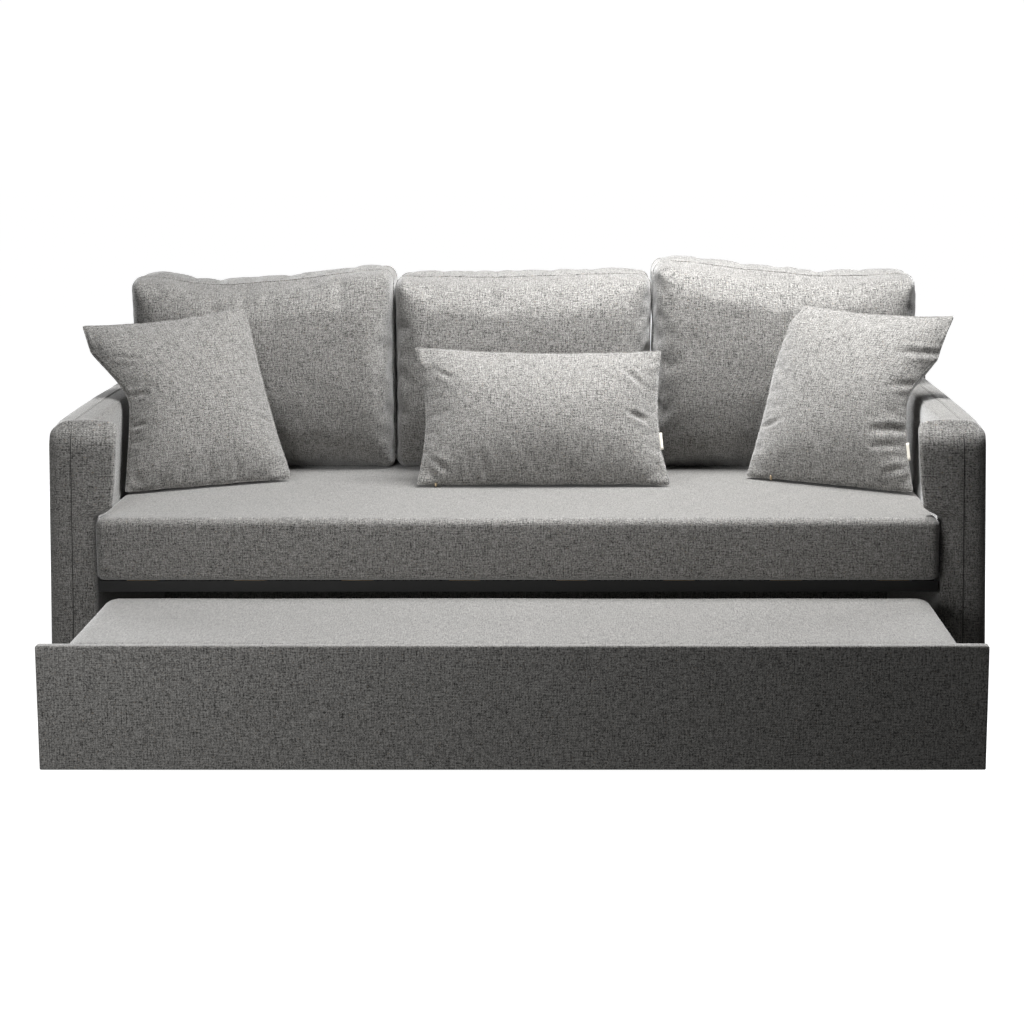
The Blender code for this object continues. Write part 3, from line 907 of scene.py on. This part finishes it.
def even_run(start: Point, end: Point, step: float = 0.005) -> np.ndarray:
    """Points a step apart on a straight line."""
    start, end = np.array(start), np.array(end)
    count = max(2, int(np.linalg.norm(end - start) / step))
    return start + np.linspace(0, 1, count + 1)[:, None] * (end - start)


# ------------------------------------------------------------------------------------------------ plan


@dataclass(frozen=True)
class Plan:
    """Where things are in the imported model."""

    arm_front: float
    arm_rear: float
    arm_top: float
    arm_inner: float
    seat_top: float

    @classmethod
    def read(cls) -> "Plan":
        """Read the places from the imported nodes."""
        arm_low, arm_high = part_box("right_arm_cover")
        return cls(
            arm_front=arm_low.y,
            arm_rear=arm_high.y,
            arm_top=arm_high.z,
            arm_inner=arm_low.x,
            seat_top=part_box("seat_mattress")[1].z,
        )


# ----------------------------------------------------------------------------------------------- sofa


class Side(Enum):
    """The sofa's two ends, as seen from the front."""

    LEFT = -1
    RIGHT = 1

    @property
    def word(self) -> str:
        """The side's name."""
        return self.name.lower()


@dataclass
class Arm:
    """One padded arm: a soft cover over its frame, with a seam down the front and over the top."""

    side: Side
    plan: Plan
    base_inner: float = 0.9515
    roll_low: float = 0.914  # the inner face of the roll at the arm's front
    roll_high: float = 0.897
    body_inner: float = 0.9555  # the inner face behind the roll
    base_outer: float = 1.066
    top_outer: float = 1.050
    wall: float = 0.006
    ledge: float = 0.457  # the height at which the roll starts
    seam_in: float = 0.055  # from the outer face
    bottom: float = 0.014
    roll_hollow: float = 0.004
    roll_ends: tuple[float, float] = (0.004, 0.070)  # how far behind the arm's front
    crown: float = 0.005  # how far the front stands out in the middle
    dome: float = 0.009  # how far the top falls towards its sides
    brow: float = 0.026  # how far the top of the front leans back
    soft: float = 0.0012

    def warp(self, points: np.ndarray) -> np.ndarray:
        """Bring a plain box to the arm's shape, with a slim base and a roll that overhangs the seat."""
        x, y, z = points.T
        arm_top, back = self.plan.arm_top, y - self.plan.arm_front
        part = (x - self.base_inner) / (self.base_outer - self.base_inner)
        across = np.clip(part, 0, 1)
        pad = smoothstep(self.ledge - 0.010, self.ledge + 0.012, z)
        rise = (z - self.ledge) / (arm_top - self.ledge)
        hollow = self.roll_hollow * np.sin(pi * np.clip(rise, 0, 1))
        roll = self.roll_low + (self.roll_high - self.roll_low) * rise - hollow
        behind = smoothstep(*self.roll_ends, back)
        face = roll + (self.body_inner - roll) * behind
        inner = self.base_inner + pad * (face - self.base_inner)
        tall = np.clip((z - self.bottom) / (arm_top - self.bottom), 0, 1)
        outer = self.base_outer + (self.top_outer - self.base_outer) * tall
        x_new = inner + part * (outer - inner)
        length = self.plan.arm_rear - self.plan.arm_front
        away = np.clip(back / length, 0, 1)
        front = smoothstep(0.06, 0.0, back)
        crown = self.crown * np.sin(pi * across) * front
        dome = self.dome * (2 * across - 1) ** 2
        top = smoothstep(arm_top - 0.03, arm_top, z)
        brow = smoothstep(arm_top - 0.075, arm_top, z) ** 2
        y = y + self.brow * brow * smoothstep(0.11, 0.0, back)
        soft = ripple(points, 0.16, 3.0 + self.side.value)
        z_new = z + top * (0.002 * np.sin(pi * away) + self.soft * soft - dome)
        x_new = x_new + self.soft * soft * (1 - part)
        return np.column_stack([self.side.value * x_new, y - crown + 0.001 * soft * front, z_new])

    def build(self, sewing: Sewing) -> None:
        """Make the cover, its seams and its stitches."""
        low = (self.base_inner, self.plan.arm_front, self.bottom)
        high = (self.base_outer, self.plan.arm_rear, self.plan.arm_top)
        shape = SoftBox(low, high, ((0.009, 0.026), (0.013, 0.012), (0.004, 0.036)), cell=0.010, arc=5)
        name = f"{self.side.word}_arm"
        cover = shape.build(name + "_upholstery", self.warp)
        open_below(cover, self.bottom + HEM)
        if self.side is Side.LEFT:
            cover.data.flip_normals()
        give_wall(cover, self.wall)
        dress(cover, CLOTH, "sofa", [f"{self.side.word}_arm_cover"])
        rising, over = self.seam_runs(cover)
        # the front seam is a real welt, coloured dark as painted shade of its groove
        sewing.welt(name + "_seam", [rising], "sofa", 0.0011, finish=SEAM_SHADE)
        sewing.welt(name + "_top_seam", [over], "sofa", 0.0010)
        beside = np.concatenate([rising, over]) + np.array([-self.side.value * 0.0045, 0, 0])
        landed = settle(cover, beside)
        sewing.stitch(name + "_stitches", [landed], "sofa")

    def seam_runs(self, cover: bpy.types.Object) -> tuple[np.ndarray, np.ndarray]:
        """The seam's path up the front, and then over the edge and back along the top."""
        front, top = self.plan.arm_front, self.plan.arm_top
        x_low = self.side.value * (self.base_outer - self.seam_in)
        x_high = self.side.value * (self.top_outer - self.seam_in + 0.004)
        rising = even_run((x_low, front - DROP, self.bottom + 0.012), (x_high, front - DROP, top - 0.03))
        up = lay_on(cover, rising, (0, 1, 0))
        over = []
        for step in range(1, 9):
            angle = radians(90 * step / 9)
            point = (x_high, front + 0.04 - DROP * cos(angle), top - 0.04 + DROP * sin(angle))
            aim = (0, front + 0.04 - point[1], top - 0.04 - point[2])
            over.append(lay_on(cover, [point], aim))
        start, end = front + 0.045, self.plan.arm_rear - 0.004
        backwards = even_run((x_high, start, top + DROP), (x_high, end, top + DROP))
        along = lay_on(cover, backwards, (0, 0, -1))
        return up, np.concatenate([up[-1:], *[part for part in over if len(part)], along])


@dataclass
class BackCushion:
    """A boxed back cushion that swells between its seams and slouches at the top."""

    name: str
    plan: Plan
    tops: tuple[tuple[float, float], ...]  # x and height along the top
    left: tuple[float, float]  # x of its left side, low down and above the arms
    right: tuple[float, float]
    proud: float = 0.014  # how far the middle of its face stands forward
    belly: float = 0.42  # how high its fullest part is
    back_top: float = 0.020
    back_low: float = 0.046

    def warp(self, points: np.ndarray) -> np.ndarray:
        """Bring a plain box to the cushion's shape."""
        low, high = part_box(self.name)
        x, y, z = points.T
        part = (x - low.x) / (high.x - low.x)
        wide = smoothstep(self.plan.arm_top - 0.035, self.plan.arm_top + 0.045, z)
        left = self.left[0] + (self.left[1] - self.left[0]) * wide
        right = self.right[0] + (self.right[1] - self.right[0]) * wide
        x_new = left + (right - left) * part
        knots = np.array(self.tops)
        target = np.interp(x_new, knots[:, 0], knots[:, 1])
        for shift in (-0.03, 0.03):
            target = target + np.interp(x_new + shift, knots[:, 0], knots[:, 1])
        target = target / 3
        tall = np.clip((z - low.z) / (high.z - low.z), 0, 1)
        z_new = low.z + (target - low.z) * tall
        waist = 0.004 * np.sin(pi * tall)
        x_new = x_new + waist * (1 - 2 * part)
        face = 1 - smoothstep(low.y, low.y + 0.12, y)
        above = np.clip((tall - self.belly) / (1 - self.belly), 0, 1)
        under = np.clip((self.belly - tall) / self.belly, 0, 1)
        middle = np.sin(pi * np.clip(part, 0, 1)) ** 0.5
        slump = self.back_top * above**2 + self.back_low * under**2 - self.proud * middle * np.sin(pi * tall)
        return np.column_stack([x_new, y + face * slump, z_new])

    def build(self, sewing: Sewing) -> None:
        """Make the cushion and its welts."""
        low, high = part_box(self.name)
        front, rear = low.y + 0.018, high.y - 0.006
        shape = SoftBox(
            (low.x, front, low.z + 0.001),
            (high.x, rear, high.z),
            ((0.026, 0.026), (0.070, 0.022), (0.022, 0.034)),
            cell=0.013,
        )
        cushion = shape.build(self.name.replace("back_cushion", "back_pad"), self.warp)
        seams = [shape.edge_loop(1, shape.arc), shape.edge_loop(1, -shape.arc - 1)]
        swell = Swell(pressure=4.0, frames=20, cap=0.022, tension=14.0, bending=0.4, spare=0.025)
        swell.run(cushion, [i for loop in seams for i in loop])
        points = self.keep_clear(coordinates(cushion.data))
        set_coordinates(cushion.data, points)
        rims = [points[loop] for loop in seams]
        subdivide(cushion)
        points = coordinates(cushion.data)
        outward = normals(cushion.data)
        seat = smoothstep(self.plan.seat_top, self.plan.seat_top + 0.05, points[:, 2])
        points += outward * (0.0022 * ripple(points, 0.07, low.x * 9) * seat)[:, None]
        set_coordinates(cushion.data, self.keep_clear(points))
        dress(cushion, CLOTH, "sofa", [self.name])
        settled = [settle(cushion, rim) for rim in rims]
        sewing.welt(self.name + "_welt", settled, "sofa", 0.0020, closed=True)

    def keep_clear(self, points: np.ndarray) -> np.ndarray:
        """Press the cushion flat where it meets the seat, the back, its neighbours and the arms."""
        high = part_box(self.name)[1]
        x, y, z = points.T
        arm_top = self.plan.arm_top
        z = np.maximum(z, self.plan.seat_top + 0.0004)
        y = np.minimum(y, high.y + 0.003)
        wide = smoothstep(arm_top - 0.002, arm_top + 0.035, z)
        for side, (below, above) in ((-1, self.left), (1, self.right)):
            clip = np.maximum if side < 0 else np.minimum
            if below == above:
                x = clip(x, below + side * 0.001)
                continue
            x = clip(x, below + side * 0.004 + (above - below + side * 0.03) * wide)
            over = (side * x > self.plan.arm_inner) & (z > arm_top - 0.03)
            z = np.where(over, np.maximum(z, arm_top + 0.004), z)
        return np.column_stack([x, y, z])


@dataclass
class Pillow:
    """A knife-edge pillow, full in the middle and thin at its seam.

    corners are where it stands, from low left, low right, high right to high left.
    """

    name: str
    plan: Plan
    size: tuple[float, float]
    corners: tuple[Point, Point, Point, Point]
    thick: float = 0.072
    # how far in its left, low, right and top sides are drawn
    draws: tuple[float, float, float, float] = (0.030, 0.0, 0.030, 0.050)
    cell: float = 0.0085
    folds: tuple[Fold, ...] = ()
    label: float | None = None  # height up the right seam, from 0 to 1
    pull: float | None = None  # the zip's pull, along the low seam from 0 to 1
    turn: float = 0.0  # how far its right seam is pushed round to the front
    rim: list[int] = field(default_factory=list)

    def case(self) -> bpy.types.Object:
        """The two cloths of the case, sewn together round the edge, lying flat."""
        width, height = self.size
        columns, rows = round(width / self.cell), round(height / self.cell)
        us = np.linspace(-1, 1, columns + 1)
        vs = np.linspace(-1, 1, rows + 1)
        keys: dict[tuple[int, int, int], int] = {}
        points: list[Point] = []
        fat = 0.62 * self.thick

        def index(i: int, j: int, sign: int) -> int:
            """The point on a column and a row of one cloth. The two share the edge's points."""
            edge = i in (0, columns) or j in (0, rows)
            key = (i, j, 0 if edge else sign)
            if key not in keys:
                u, v = us[i], vs[j]
                full = max(0.0, (1 - u * u) * (1 - v * v)) ** 0.5
                side = self.draws[0] if u < 0 else self.draws[2]
                end = self.draws[1] if v < 0 else self.draws[3]
                keys[key] = len(points)
                x = width / 2 * u * (1 - side * (1 - v * v))
                turned = self.turn * max(0.0, u) ** 14 * (1 - 0.6 * v * v)
                y = height / 2 * v * (1 - end * (1 - u * u))
                points.append((x - turned, y, sign * fat * full + 0.7 * turned))
            return keys[key]

        faces, flat = [], []
        for sign in (1, -1):
            for i in range(columns):
                for j in range(rows):
                    ring = [(i, j), (i + 1, j), (i + 1, j + 1), (i, j + 1)]
                    if sign < 0:
                        ring.reverse()
                    faces.append([index(a, b, sign) for a, b in ring])
                    flat += [(width / 2 * us[a], height / 2 * vs[b]) for a, b in ring]
        self.rim = [index(i, j, 1) for i, j in grid_ring(columns, rows)]
        return make_object(self.name.replace("_pillow", "_scatter_pillow"), points, faces, flat)

    def stand(self, points: np.ndarray, half: tuple[float, float]) -> np.ndarray:
        """Stand the flat-lying pillow up between its corners.

        Args:
            points: its points, with the front side up.
            half: half its width and height.

        Returns:
            The points in place.
        """
        low_left, low_right, high_right, high_left = (np.array(corner) for corner in self.corners)
        u = (points[:, :1] / half[0] + 1) / 2
        v = (points[:, 1:2] / half[1] + 1) / 2
        low = low_left + u * (low_right - low_left)
        high = high_left + u * (high_right - high_left)
        across = (1 - v) * (low_right - low_left) + v * (high_right - high_left)
        up = high - low
        outward = np.cross(across, up)
        outward /= np.linalg.norm(outward, axis=1, keepdims=True)
        placed = low + v * up + outward * points[:, 2:3]
        for corner_low, corner_high, reach in ((low_left, high_left, 1 - u), (low_right, high_right, u)):
            edge = corner_low + v * (corner_high - corner_low)
            excess = np.sign(edge[:, 0]) * np.maximum(0, np.abs(edge[:, 0]) - self.room(edge[:, 2]))
            placed[:, 0] -= excess * np.clip(reach[:, 0], 0, 1) ** 2
        return placed

    def room(self, z: np.ndarray) -> np.ndarray:
        """How far the pillow can reach to each side: to the arms, and out over them above their top."""
        return self.plan.arm_inner + 0.041 + 0.135 * smoothstep(-0.02, 0.175, z - self.plan.arm_top)

    def keep_clear(self, points: np.ndarray) -> np.ndarray:
        """Press the pillow flat where it meets the seat and the arms."""
        x, y, z = points.T
        z = np.maximum(z, self.plan.seat_top + 0.0006)
        room = self.room(z) + 0.006
        x = np.clip(x, -room, room)
        return np.column_stack([x, y, z])

    def build(self, sewing: Sewing) -> None:
        """Make the pillow, its seam and its label."""
        pillow = self.case()
        swell = Swell(pressure=5.0, frames=20, cap=0.034, tension=12.0, bending=0.25, spare=0.02)
        swell.run(pillow, self.rim)
        points = coordinates(pillow.data)
        half = (np.abs(points[self.rim, 0]).max(), np.abs(points[self.rim, 1]).max())
        LOG.info("%s: %.3f thick", self.name, np.ptp(points[:, 2]))
        rim = points[self.rim]
        subdivide(pillow)
        press_folds(pillow, self.folds, (0, 1), (0, 0, 1))
        points = coordinates(pillow.data)
        outward = normals(pillow.data)
        points += outward * (0.0018 * ripple(points, 0.06, len(self.name)))[:, None]
        set_coordinates(pillow.data, self.keep_clear(self.stand(points, half)))
        dress(pillow, CLOTH, "sofa", [self.name])
        edge = settle(pillow, self.keep_clear(self.stand(rim, half)))
        sewing.welt(self.name + "_seam", [edge], "sofa", 0.0017, closed=True)
        if self.label is not None:
            columns, rows = round(self.size[0] / self.cell), round(self.size[1] / self.cell)
            self.sew_label(edge, columns + round(self.label * rows))
        if self.pull is not None:
            at = edge[round(self.pull * self.size[0] / self.cell)] + (0, -0.004, 0.002)
            size = (0.0035, 0.0070, 0.0016)
            sewing.stud(self.name + "_zip_pull", [tuple(at)], (0, -1, 0.2), size, ZIP_METAL, "sofa")

    def sew_label(self, edge: np.ndarray, number: int) -> None:
        """A blank loop of tape caught in the right-hand seam.

        Args:
            edge: the seam's points.
            number: the point that the label's middle is at.
        """
        at = edge[number]
        up = edge[number + 2] - edge[number - 2]
        up /= np.linalg.norm(up)
        out = np.array([0.82, -0.57, 0.0])
        out -= up * (out @ up)
        out /= np.linalg.norm(out)
        face = np.cross(out, up)
        at = at - out * 0.0015
        wide, tall, thin = 0.0095, 0.043, 0.0007
        steps = 6
        rows, faces = [], []
        front = [(0.0, thin * 1.6), (wide * 0.6, thin * 2.2), (wide, thin)]
        profile = front + [(reach, -depth) for reach, depth in reversed(front)]
        for step in range(steps + 1):
            lift = (step / steps - 0.5) * tall
            for reach, depth in profile:
                rows.append(at + up * lift + out * reach + face * depth)
        size = len(profile)
        for step in range(steps):
            for i in range(size):
                a, b = step * size + i, step * size + (i + 1) % size
                faces.append([a, b, b + size, a + size])
        faces.append(list(range(size))[::-1])
        faces.append([steps * size + i for i in range(size)])
        tab = make_object(self.name + "_label", rows, faces)
        dress(tab, LABEL, "sofa")


@dataclass
class SeatMattress:
    """The long seat mattress, firm, with a soft edge all round."""

    node: str = "seat_mattress"

    def warp(self, points: np.ndarray) -> np.ndarray:
        """Give the foam its slight crown and unevenness."""
        low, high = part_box(self.node)
        x, y, z = points.T
        soft = ripple(points, 0.22, 5.0)
        top = smoothstep(high.z - 0.02, high.z, z)
        front = smoothstep(low.y + 0.02, low.y, y)
        z = z - top * (0.0012 + 0.0010 * soft)
        middle = np.sin(pi * np.clip((z - low.z) / (high.z - low.z), 0, 1))
        y = y - front * (0.003 * middle + 0.0012 * soft)
        return np.column_stack([x, y, z])

    def build(self) -> None:
        """Make the mattress."""
        low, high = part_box(self.node)
        shape = SoftBox(tuple(low), tuple(high), ((0.020, 0.020), (0.018, 0.016), (0.014, 0.020)), 0.016)
        mattress = shape.build("seat_bed_mattress", self.warp)
        dress(mattress, CLOTH, "sofa", [self.node])


@dataclass
class Back:
    """The upholstered back, seen from behind and over its top."""

    node: str = "back_cover"
    wall: float = 0.008
    taper: float = 0.0189  # of its width, at its top
    beside: float = 0.005  # from a seam to its stitches

    def warp(self, points: np.ndarray) -> np.ndarray:
        """Taper the back and pad its outer face."""
        low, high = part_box(self.node)
        x, y, z = points.T
        tall = np.clip((z - low.z) / (high.z - low.z), 0, 1)
        x = x * (1 - self.taper * tall)
        rear = smoothstep(high.y - 0.02, high.y, y)
        soft = ripple(points, 0.25, 8.0)
        y = y + rear * (0.0015 * soft - 0.001)
        return np.column_stack([x, y, z])

    def build(self, sewing: Sewing) -> None:
        """Make the cover, its seams and stitches."""
        low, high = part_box(self.node)
        shape = SoftBox(tuple(low), tuple(high), ((0.018, 0.018), (0.012, 0.016), (0.004, 0.022)), 0.018)
        cover = shape.build("back_upholstery", self.warp)
        open_below(cover, low.z + HEM)
        give_wall(cover, self.wall)
        dress(cover, CLOTH, "sofa", [self.node])
        runs = []
        for x in (-0.345, 0.345):
            run = even_run((x, high.y + DROP, low.z + 0.01), (x, high.y + DROP, high.z - 0.024))
            runs.append(lay_on(cover, run, (0, -1, 0)))
        level = high.z - 0.045
        across = even_run((-1.02, high.y + DROP, level), (1.02, high.y + DROP, level))
        runs.append(lay_on(cover, across, (0, -1, 0)))
        sewing.welt("back_seams", runs, "sofa", 0.0013)
        shifts = ((self.beside, 0, 0), (-self.beside, 0, 0), (0, 0, -self.beside))
        beside = [settle(cover, run + shift) for run, shift in zip(runs, shifts)]
        sewing.stitch("back_stitches", beside, "sofa")


@dataclass
class Trundle:
    """The bed that rolls out: its upholstered front, its mattress and its fixings."""

    panel_node: str = "trundle_front_cover"
    mattress_node: str = "trundle_mattress"

    def panel_warp(self, points: np.ndarray) -> np.ndarray:
        """Pad the panel's face a little."""
        low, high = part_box(self.panel_node)
        x, y, z = points.T
        front = smoothstep(low.y + 0.004, low.y, y)
        soft = ripple(points, 0.13, 11.0)
        y = y + front * (0.0005 + 0.0004 * soft)
        z = z + 0.0006 * ripple(points * (1, 0, 0), 0.2, 12.0) * smoothstep(high.z - 0.02, high.z, z)
        return np.column_stack([x, y, z])

    def mattress_warp(self, points: np.ndarray) -> np.ndarray:
        """Let the mattress's top lie unevenly."""
        low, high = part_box(self.mattress_node)
        x, y, z = points.T
        top = smoothstep(high.z - 0.02, high.z, z)
        soft = ripple(points, 0.2, 14.0)
        z = z - top * (0.001 + 0.0008 * soft)
        return np.column_stack([x, y, z])

    def build(self, sewing: Sewing) -> None:
        """Make the front, the mattress and the screws."""
        low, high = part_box(self.panel_node)
        shape = SoftBox(tuple(low), tuple(high), ((0.004, 0.004), (0.004, 0.003), (0.003, 0.005)), 0.014, 3)
        panel = shape.build("trundle_front_upholstery", self.panel_warp)
        dress(panel, CLOTH, "trundle", [self.panel_node])
        low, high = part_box(self.mattress_node)
        shape = SoftBox(tuple(low), tuple(high), ((0.034, 0.034), (0.012, 0.034), (0.016, 0.018)), 0.016, 5)
        mattress = shape.build("trundle_bed_mattress", self.mattress_warp)
        dress(mattress, CLOTH, "trundle", [self.mattress_node])
        for side in Side:
            low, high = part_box(f"trundle_{side.word}_board")
            face = high.x if side is Side.RIGHT else low.x
            places = [
                (face, y, z)
                for y in np.linspace(low.y + 0.04, high.y - 0.04, 5)
                for z in (low.z + 0.014, high.z - 0.012)
            ]
            size = (0.0042, 0.0042, 0.0013)
            sewing.stud(f"trundle_{side.word}_screws", places, (side.value, 0, 0), size, ZINC, "trundle")


# -------------------------------------------------------------------------------------------- hardware


class Hardware:
    """The frames, slats, bolts, glides and castors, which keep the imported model's own shapes."""

    finishes: dict[str, dict[int, Wood] | Coat] = {
        "frame_timber": PINE,
        "plywood": BIRCH,
        "black_steel": STEEL,
        "zinc_steel": ZINC,
        "black_plastic": MOULDED,
        "wheel_grey": TYRE,
    }

    def dress_nodes(self) -> None:
        """Give each shown node the finish of its slot."""
        for name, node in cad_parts.items():
            finish = self.finishes.get(self.slot_of(name))
            if finish is None or node.hide_render:
                continue
            if isinstance(finish, dict):
                low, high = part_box(name)
                sides = [high[axis] - low[axis] for axis in range(3)]
                finish = finish[sides.index(max(sides))]
            for place in node.material_slots:
                place.material = Shelf.take(finish)
            LOG.info("%s: %s", name, finish.name)

    @staticmethod
    def slot_of(name: str) -> str:
        """The record's slot of a node. Words are tried in order, so only the steel rails reach "_rail"."""
        words = {
            "frame_timber": ("_post", "top_rail", "bottom_rail", "_bearer"),
            "plywood": ("slat", "_board", "_deck"),
            "black_steel": ("_rail", "_fork"),
            "zinc_steel": ("bolt",),
            "black_plastic": ("glide",),
            "wheel_grey": ("wheel",),
        }
        for slot, keys in words.items():
            if any(key in name for key in keys):
                return slot
        return "grey_fabric"


# ---------------------------------------------------------------------------------------------- studio


@dataclass(frozen=True)
class Lamp:
    """A rectangular soft light, unseen by the camera."""

    name: str
    place: Point
    aim: Point  # the point it faces
    size: tuple[float, float]
    power: float  # in watts

    def build(self) -> None:
        """Hang the light."""
        data = bpy.data.lights.new(self.name, "AREA")
        data.shape = "RECTANGLE"
        data.size, data.size_y = self.size
        data.energy = self.power
        lamp = bpy.data.objects.new(self.name, data)
        lamp.visible_camera = False
        lamp.location = self.place
        aim = Vector(self.aim) - Vector(self.place)
        lamp.rotation_euler = aim.to_track_quat("-Z", "Y").to_euler()
        bpy.context.scene.collection.objects.link(lamp)


LAMPS = [
    Lamp("key", (0.42, -0.05, 2.30), (0.32, 0.04, 0.45), (1.5, 0.46), 95.0),
    Lamp("fill", (-1.05, -2.10, 0.90), (-0.55, -0.4, 0.3), (0.9, 0.9), 16.0),
    Lamp("rear_left", (-3.3, 2.6, 1.15), (-0.9, 0.55, 0.45), (1.6, 1.6), 75.0),
    Lamp("rear_right", (3.3, 2.6, 1.15), (0.9, 0.55, 0.45), (1.6, 1.6), 75.0),
]


@dataclass(frozen=True)
class Studio:
    """The camera, the lights, the pale floor and the surroundings."""

    place: Point = (0.1265, -5.476, 1.3886)  # the camera's
    pitch: float = 80.0
    lens: float = 83.43
    shift: float = -0.0605
    floor_half: float = 30.0
    floor_drop: float = 0.0005  # keeps the floor just under the glides
    floor_glow: float = 0.99
    sky_seen: float = 0.98  # how bright the surroundings are to the camera, over what they give
    sky_given: float = 0.03

    def build(self) -> None:
        """Set the studio up."""
        self.camera()
        for lamp in LAMPS:
            lamp.build()
        self.floor()
        self.surroundings()
        view = bpy.context.scene.view_settings
        view.view_transform = "Standard"
        view.look = "None"

    def camera(self) -> None:
        """A long lens from the front, looking slightly down."""
        data = bpy.data.cameras.new("camera")
        data.sensor_width = 36.0
        data.lens = self.lens
        data.shift_x = self.shift
        data.clip_end = 100.0
        camera = bpy.data.objects.new("camera", data)
        camera.location = self.place
        camera.rotation_euler = (radians(self.pitch), 0, 0)
        bpy.context.scene.collection.objects.link(camera)
        bpy.context.scene.camera = camera

    def floor(self) -> None:
        """A wide pale floor that keeps its own bounce off the cloth."""
        half = self.floor_half
        corners = [(-half, -half, 0), (half, -half, 0), (half, half, 0), (-half, half, 0)]
        floor = make_object("studio_floor", corners, [(0, 1, 2, 3)])
        floor.location.z = -self.floor_drop
        material, _ = shaded("pale_floor", {"Base Color": (0.35, 0.35, 0.35, 1.0), "Roughness": 0.9})
        shader = shader_of(material)
        shader.inputs["Emission Color"].default_value = (1, 1, 1, 1)
        shader.inputs["Emission Strength"].default_value = self.floor_glow
        floor.data.materials.append(material)
        floor.visible_diffuse = False
        floor.visible_glossy = False

    def surroundings(self) -> None:
        """White all round for the camera, and a low even light on the object."""
        world = bpy.data.worlds.new("studio_world")
        bpy.context.scene.world = world
        world.use_nodes = True
        nodes = Nodes(world.node_tree)
        seen = nodes.add("ShaderNodeLightPath", None, None, "Is Camera Ray")
        strength = seen * self.sky_seen + self.sky_given
        sky = nodes.add("ShaderNodeBackground", None, {"Color": (1, 1, 1, 1), "Strength": strength})
        nodes.add("ShaderNodeOutputWorld", None, {"Surface": sky})


# ------------------------------------------------------------------------------------------------ main


def main() -> None:
    """Build everything in order."""
    logging.basicConfig(level=logging.INFO, format="%(message)s")
    Studio().build()
    plan = Plan.read()
    sewing = Sewing()
    front, seat = plan.arm_front, plan.seat_top
    for side in Side:
        Arm(side, plan).build(sewing)
    Back().build(sewing)
    SeatMattress().build()
    cushions = [
        BackCushion(
            "back_cushion_left",
            plan,
            (
                (-0.99, 0.932),
                (-0.918, 0.936),
                (-0.798, 0.913),
                (-0.60, 0.925),
                (-0.366, 0.954),
                (-0.31, 0.954),
            ),
            (-0.915, -0.984),
            (-0.3275, -0.3275),
        ),
        BackCushion(
            "back_cushion_centre",
            plan,
            ((-0.32, 0.936), (-0.10, 0.934), (0.12, 0.940), (0.33, 0.944)),
            (-0.3225, -0.3225),
            (0.3195, 0.3195),
        ),
        BackCushion(
            "back_cushion_right",
            plan,
            ((0.33, 0.974), (0.40, 0.974), (0.56, 0.955), (0.75, 0.936), (0.95, 0.942)),
            (0.3245, 0.3245),
            (0.915, 0.984),
        ),
    ]
    for cushion in cushions:
        cushion.build(sewing)
    pillows = [
        Pillow(
            "left_pillow",
            plan,
            (0.46, 0.46),
            (
                (-0.944, front + 0.291, seat + 0.004),
                (-0.565, front + 0.499, seat + 0.004),
                (-0.690, front + 0.649, 0.868),
                (-1.058, front + 0.441, 0.840),
            ),
            folds=(
                Fold((-0.215, 0.030), (-0.165, 0.022), 0.0045, 0.006),
                Fold((-0.215, -0.055), (-0.175, -0.060), 0.0045, 0.006),
                Fold((-0.185, 0.125), (-0.135, 0.110), 0.0030, 0.006),
                Fold((0.215, -0.085), (0.165, -0.070), 0.0030, 0.006),
            ),
        ),
        Pillow(
            "right_pillow",
            plan,
            (0.46, 0.46),
            (
                (0.551, front + 0.530, seat + 0.004),
                (0.942, front + 0.277, seat + 0.004),
                (1.048, front + 0.427, 0.863),
                (0.659, front + 0.680, 0.878),
            ),
            turn=0.020,
            folds=(
                Fold((0.212, 0.124), (0.124, 0.110), 0.0050, 0.0075),
                Fold((0.208, -0.072), (0.118, -0.092), 0.0060, 0.0085),
                Fold((0.190, -0.118), (0.122, -0.132), 0.0040, 0.0070),
                Fold((0.205, -0.172), (0.150, -0.190), 0.0045, 0.0070),
                Fold((0.212, 0.046), (0.160, 0.030), 0.0030, 0.0070),
                Fold((-0.205, -0.100), (-0.155, -0.090), 0.0035, 0.006),
            ),
            label=0.22,
            pull=0.143,
        ),
        Pillow(
            "lumbar_pillow",
            plan,
            (0.63, 0.37),
            (
                (-0.257, front + 0.400, seat + 0.004),
                (0.360, front + 0.405, seat + 0.004),
                (0.343, front + 0.555, 0.768),
                (-0.267, front + 0.545, 0.778),
            ),
            draws=(0.085, 0.0, 0.060, 0.060),
            folds=(
                Fold((0.205, 0.130), (0.262, 0.070), 0.0050, 0.007),
                Fold((0.215, 0.000), (0.268, -0.022), 0.0050, 0.007),
                Fold((-0.180, -0.110), (-0.185, -0.165), 0.0040, 0.006),
                Fold((-0.140, -0.115), (-0.142, -0.168), 0.0040, 0.006),
                Fold((-0.275, -0.120), (-0.235, -0.150), 0.0045, 0.007),
                Fold((-0.255, 0.110), (-0.215, 0.085), 0.0035, 0.007),
            ),
            label=0.32,
            pull=0.08,
        ),
    ]
    for pillow in pillows:
        pillow.build(sewing)
    Trundle().build(sewing)
    Hardware().dress_nodes()


if __name__ == "__main__":
    main()
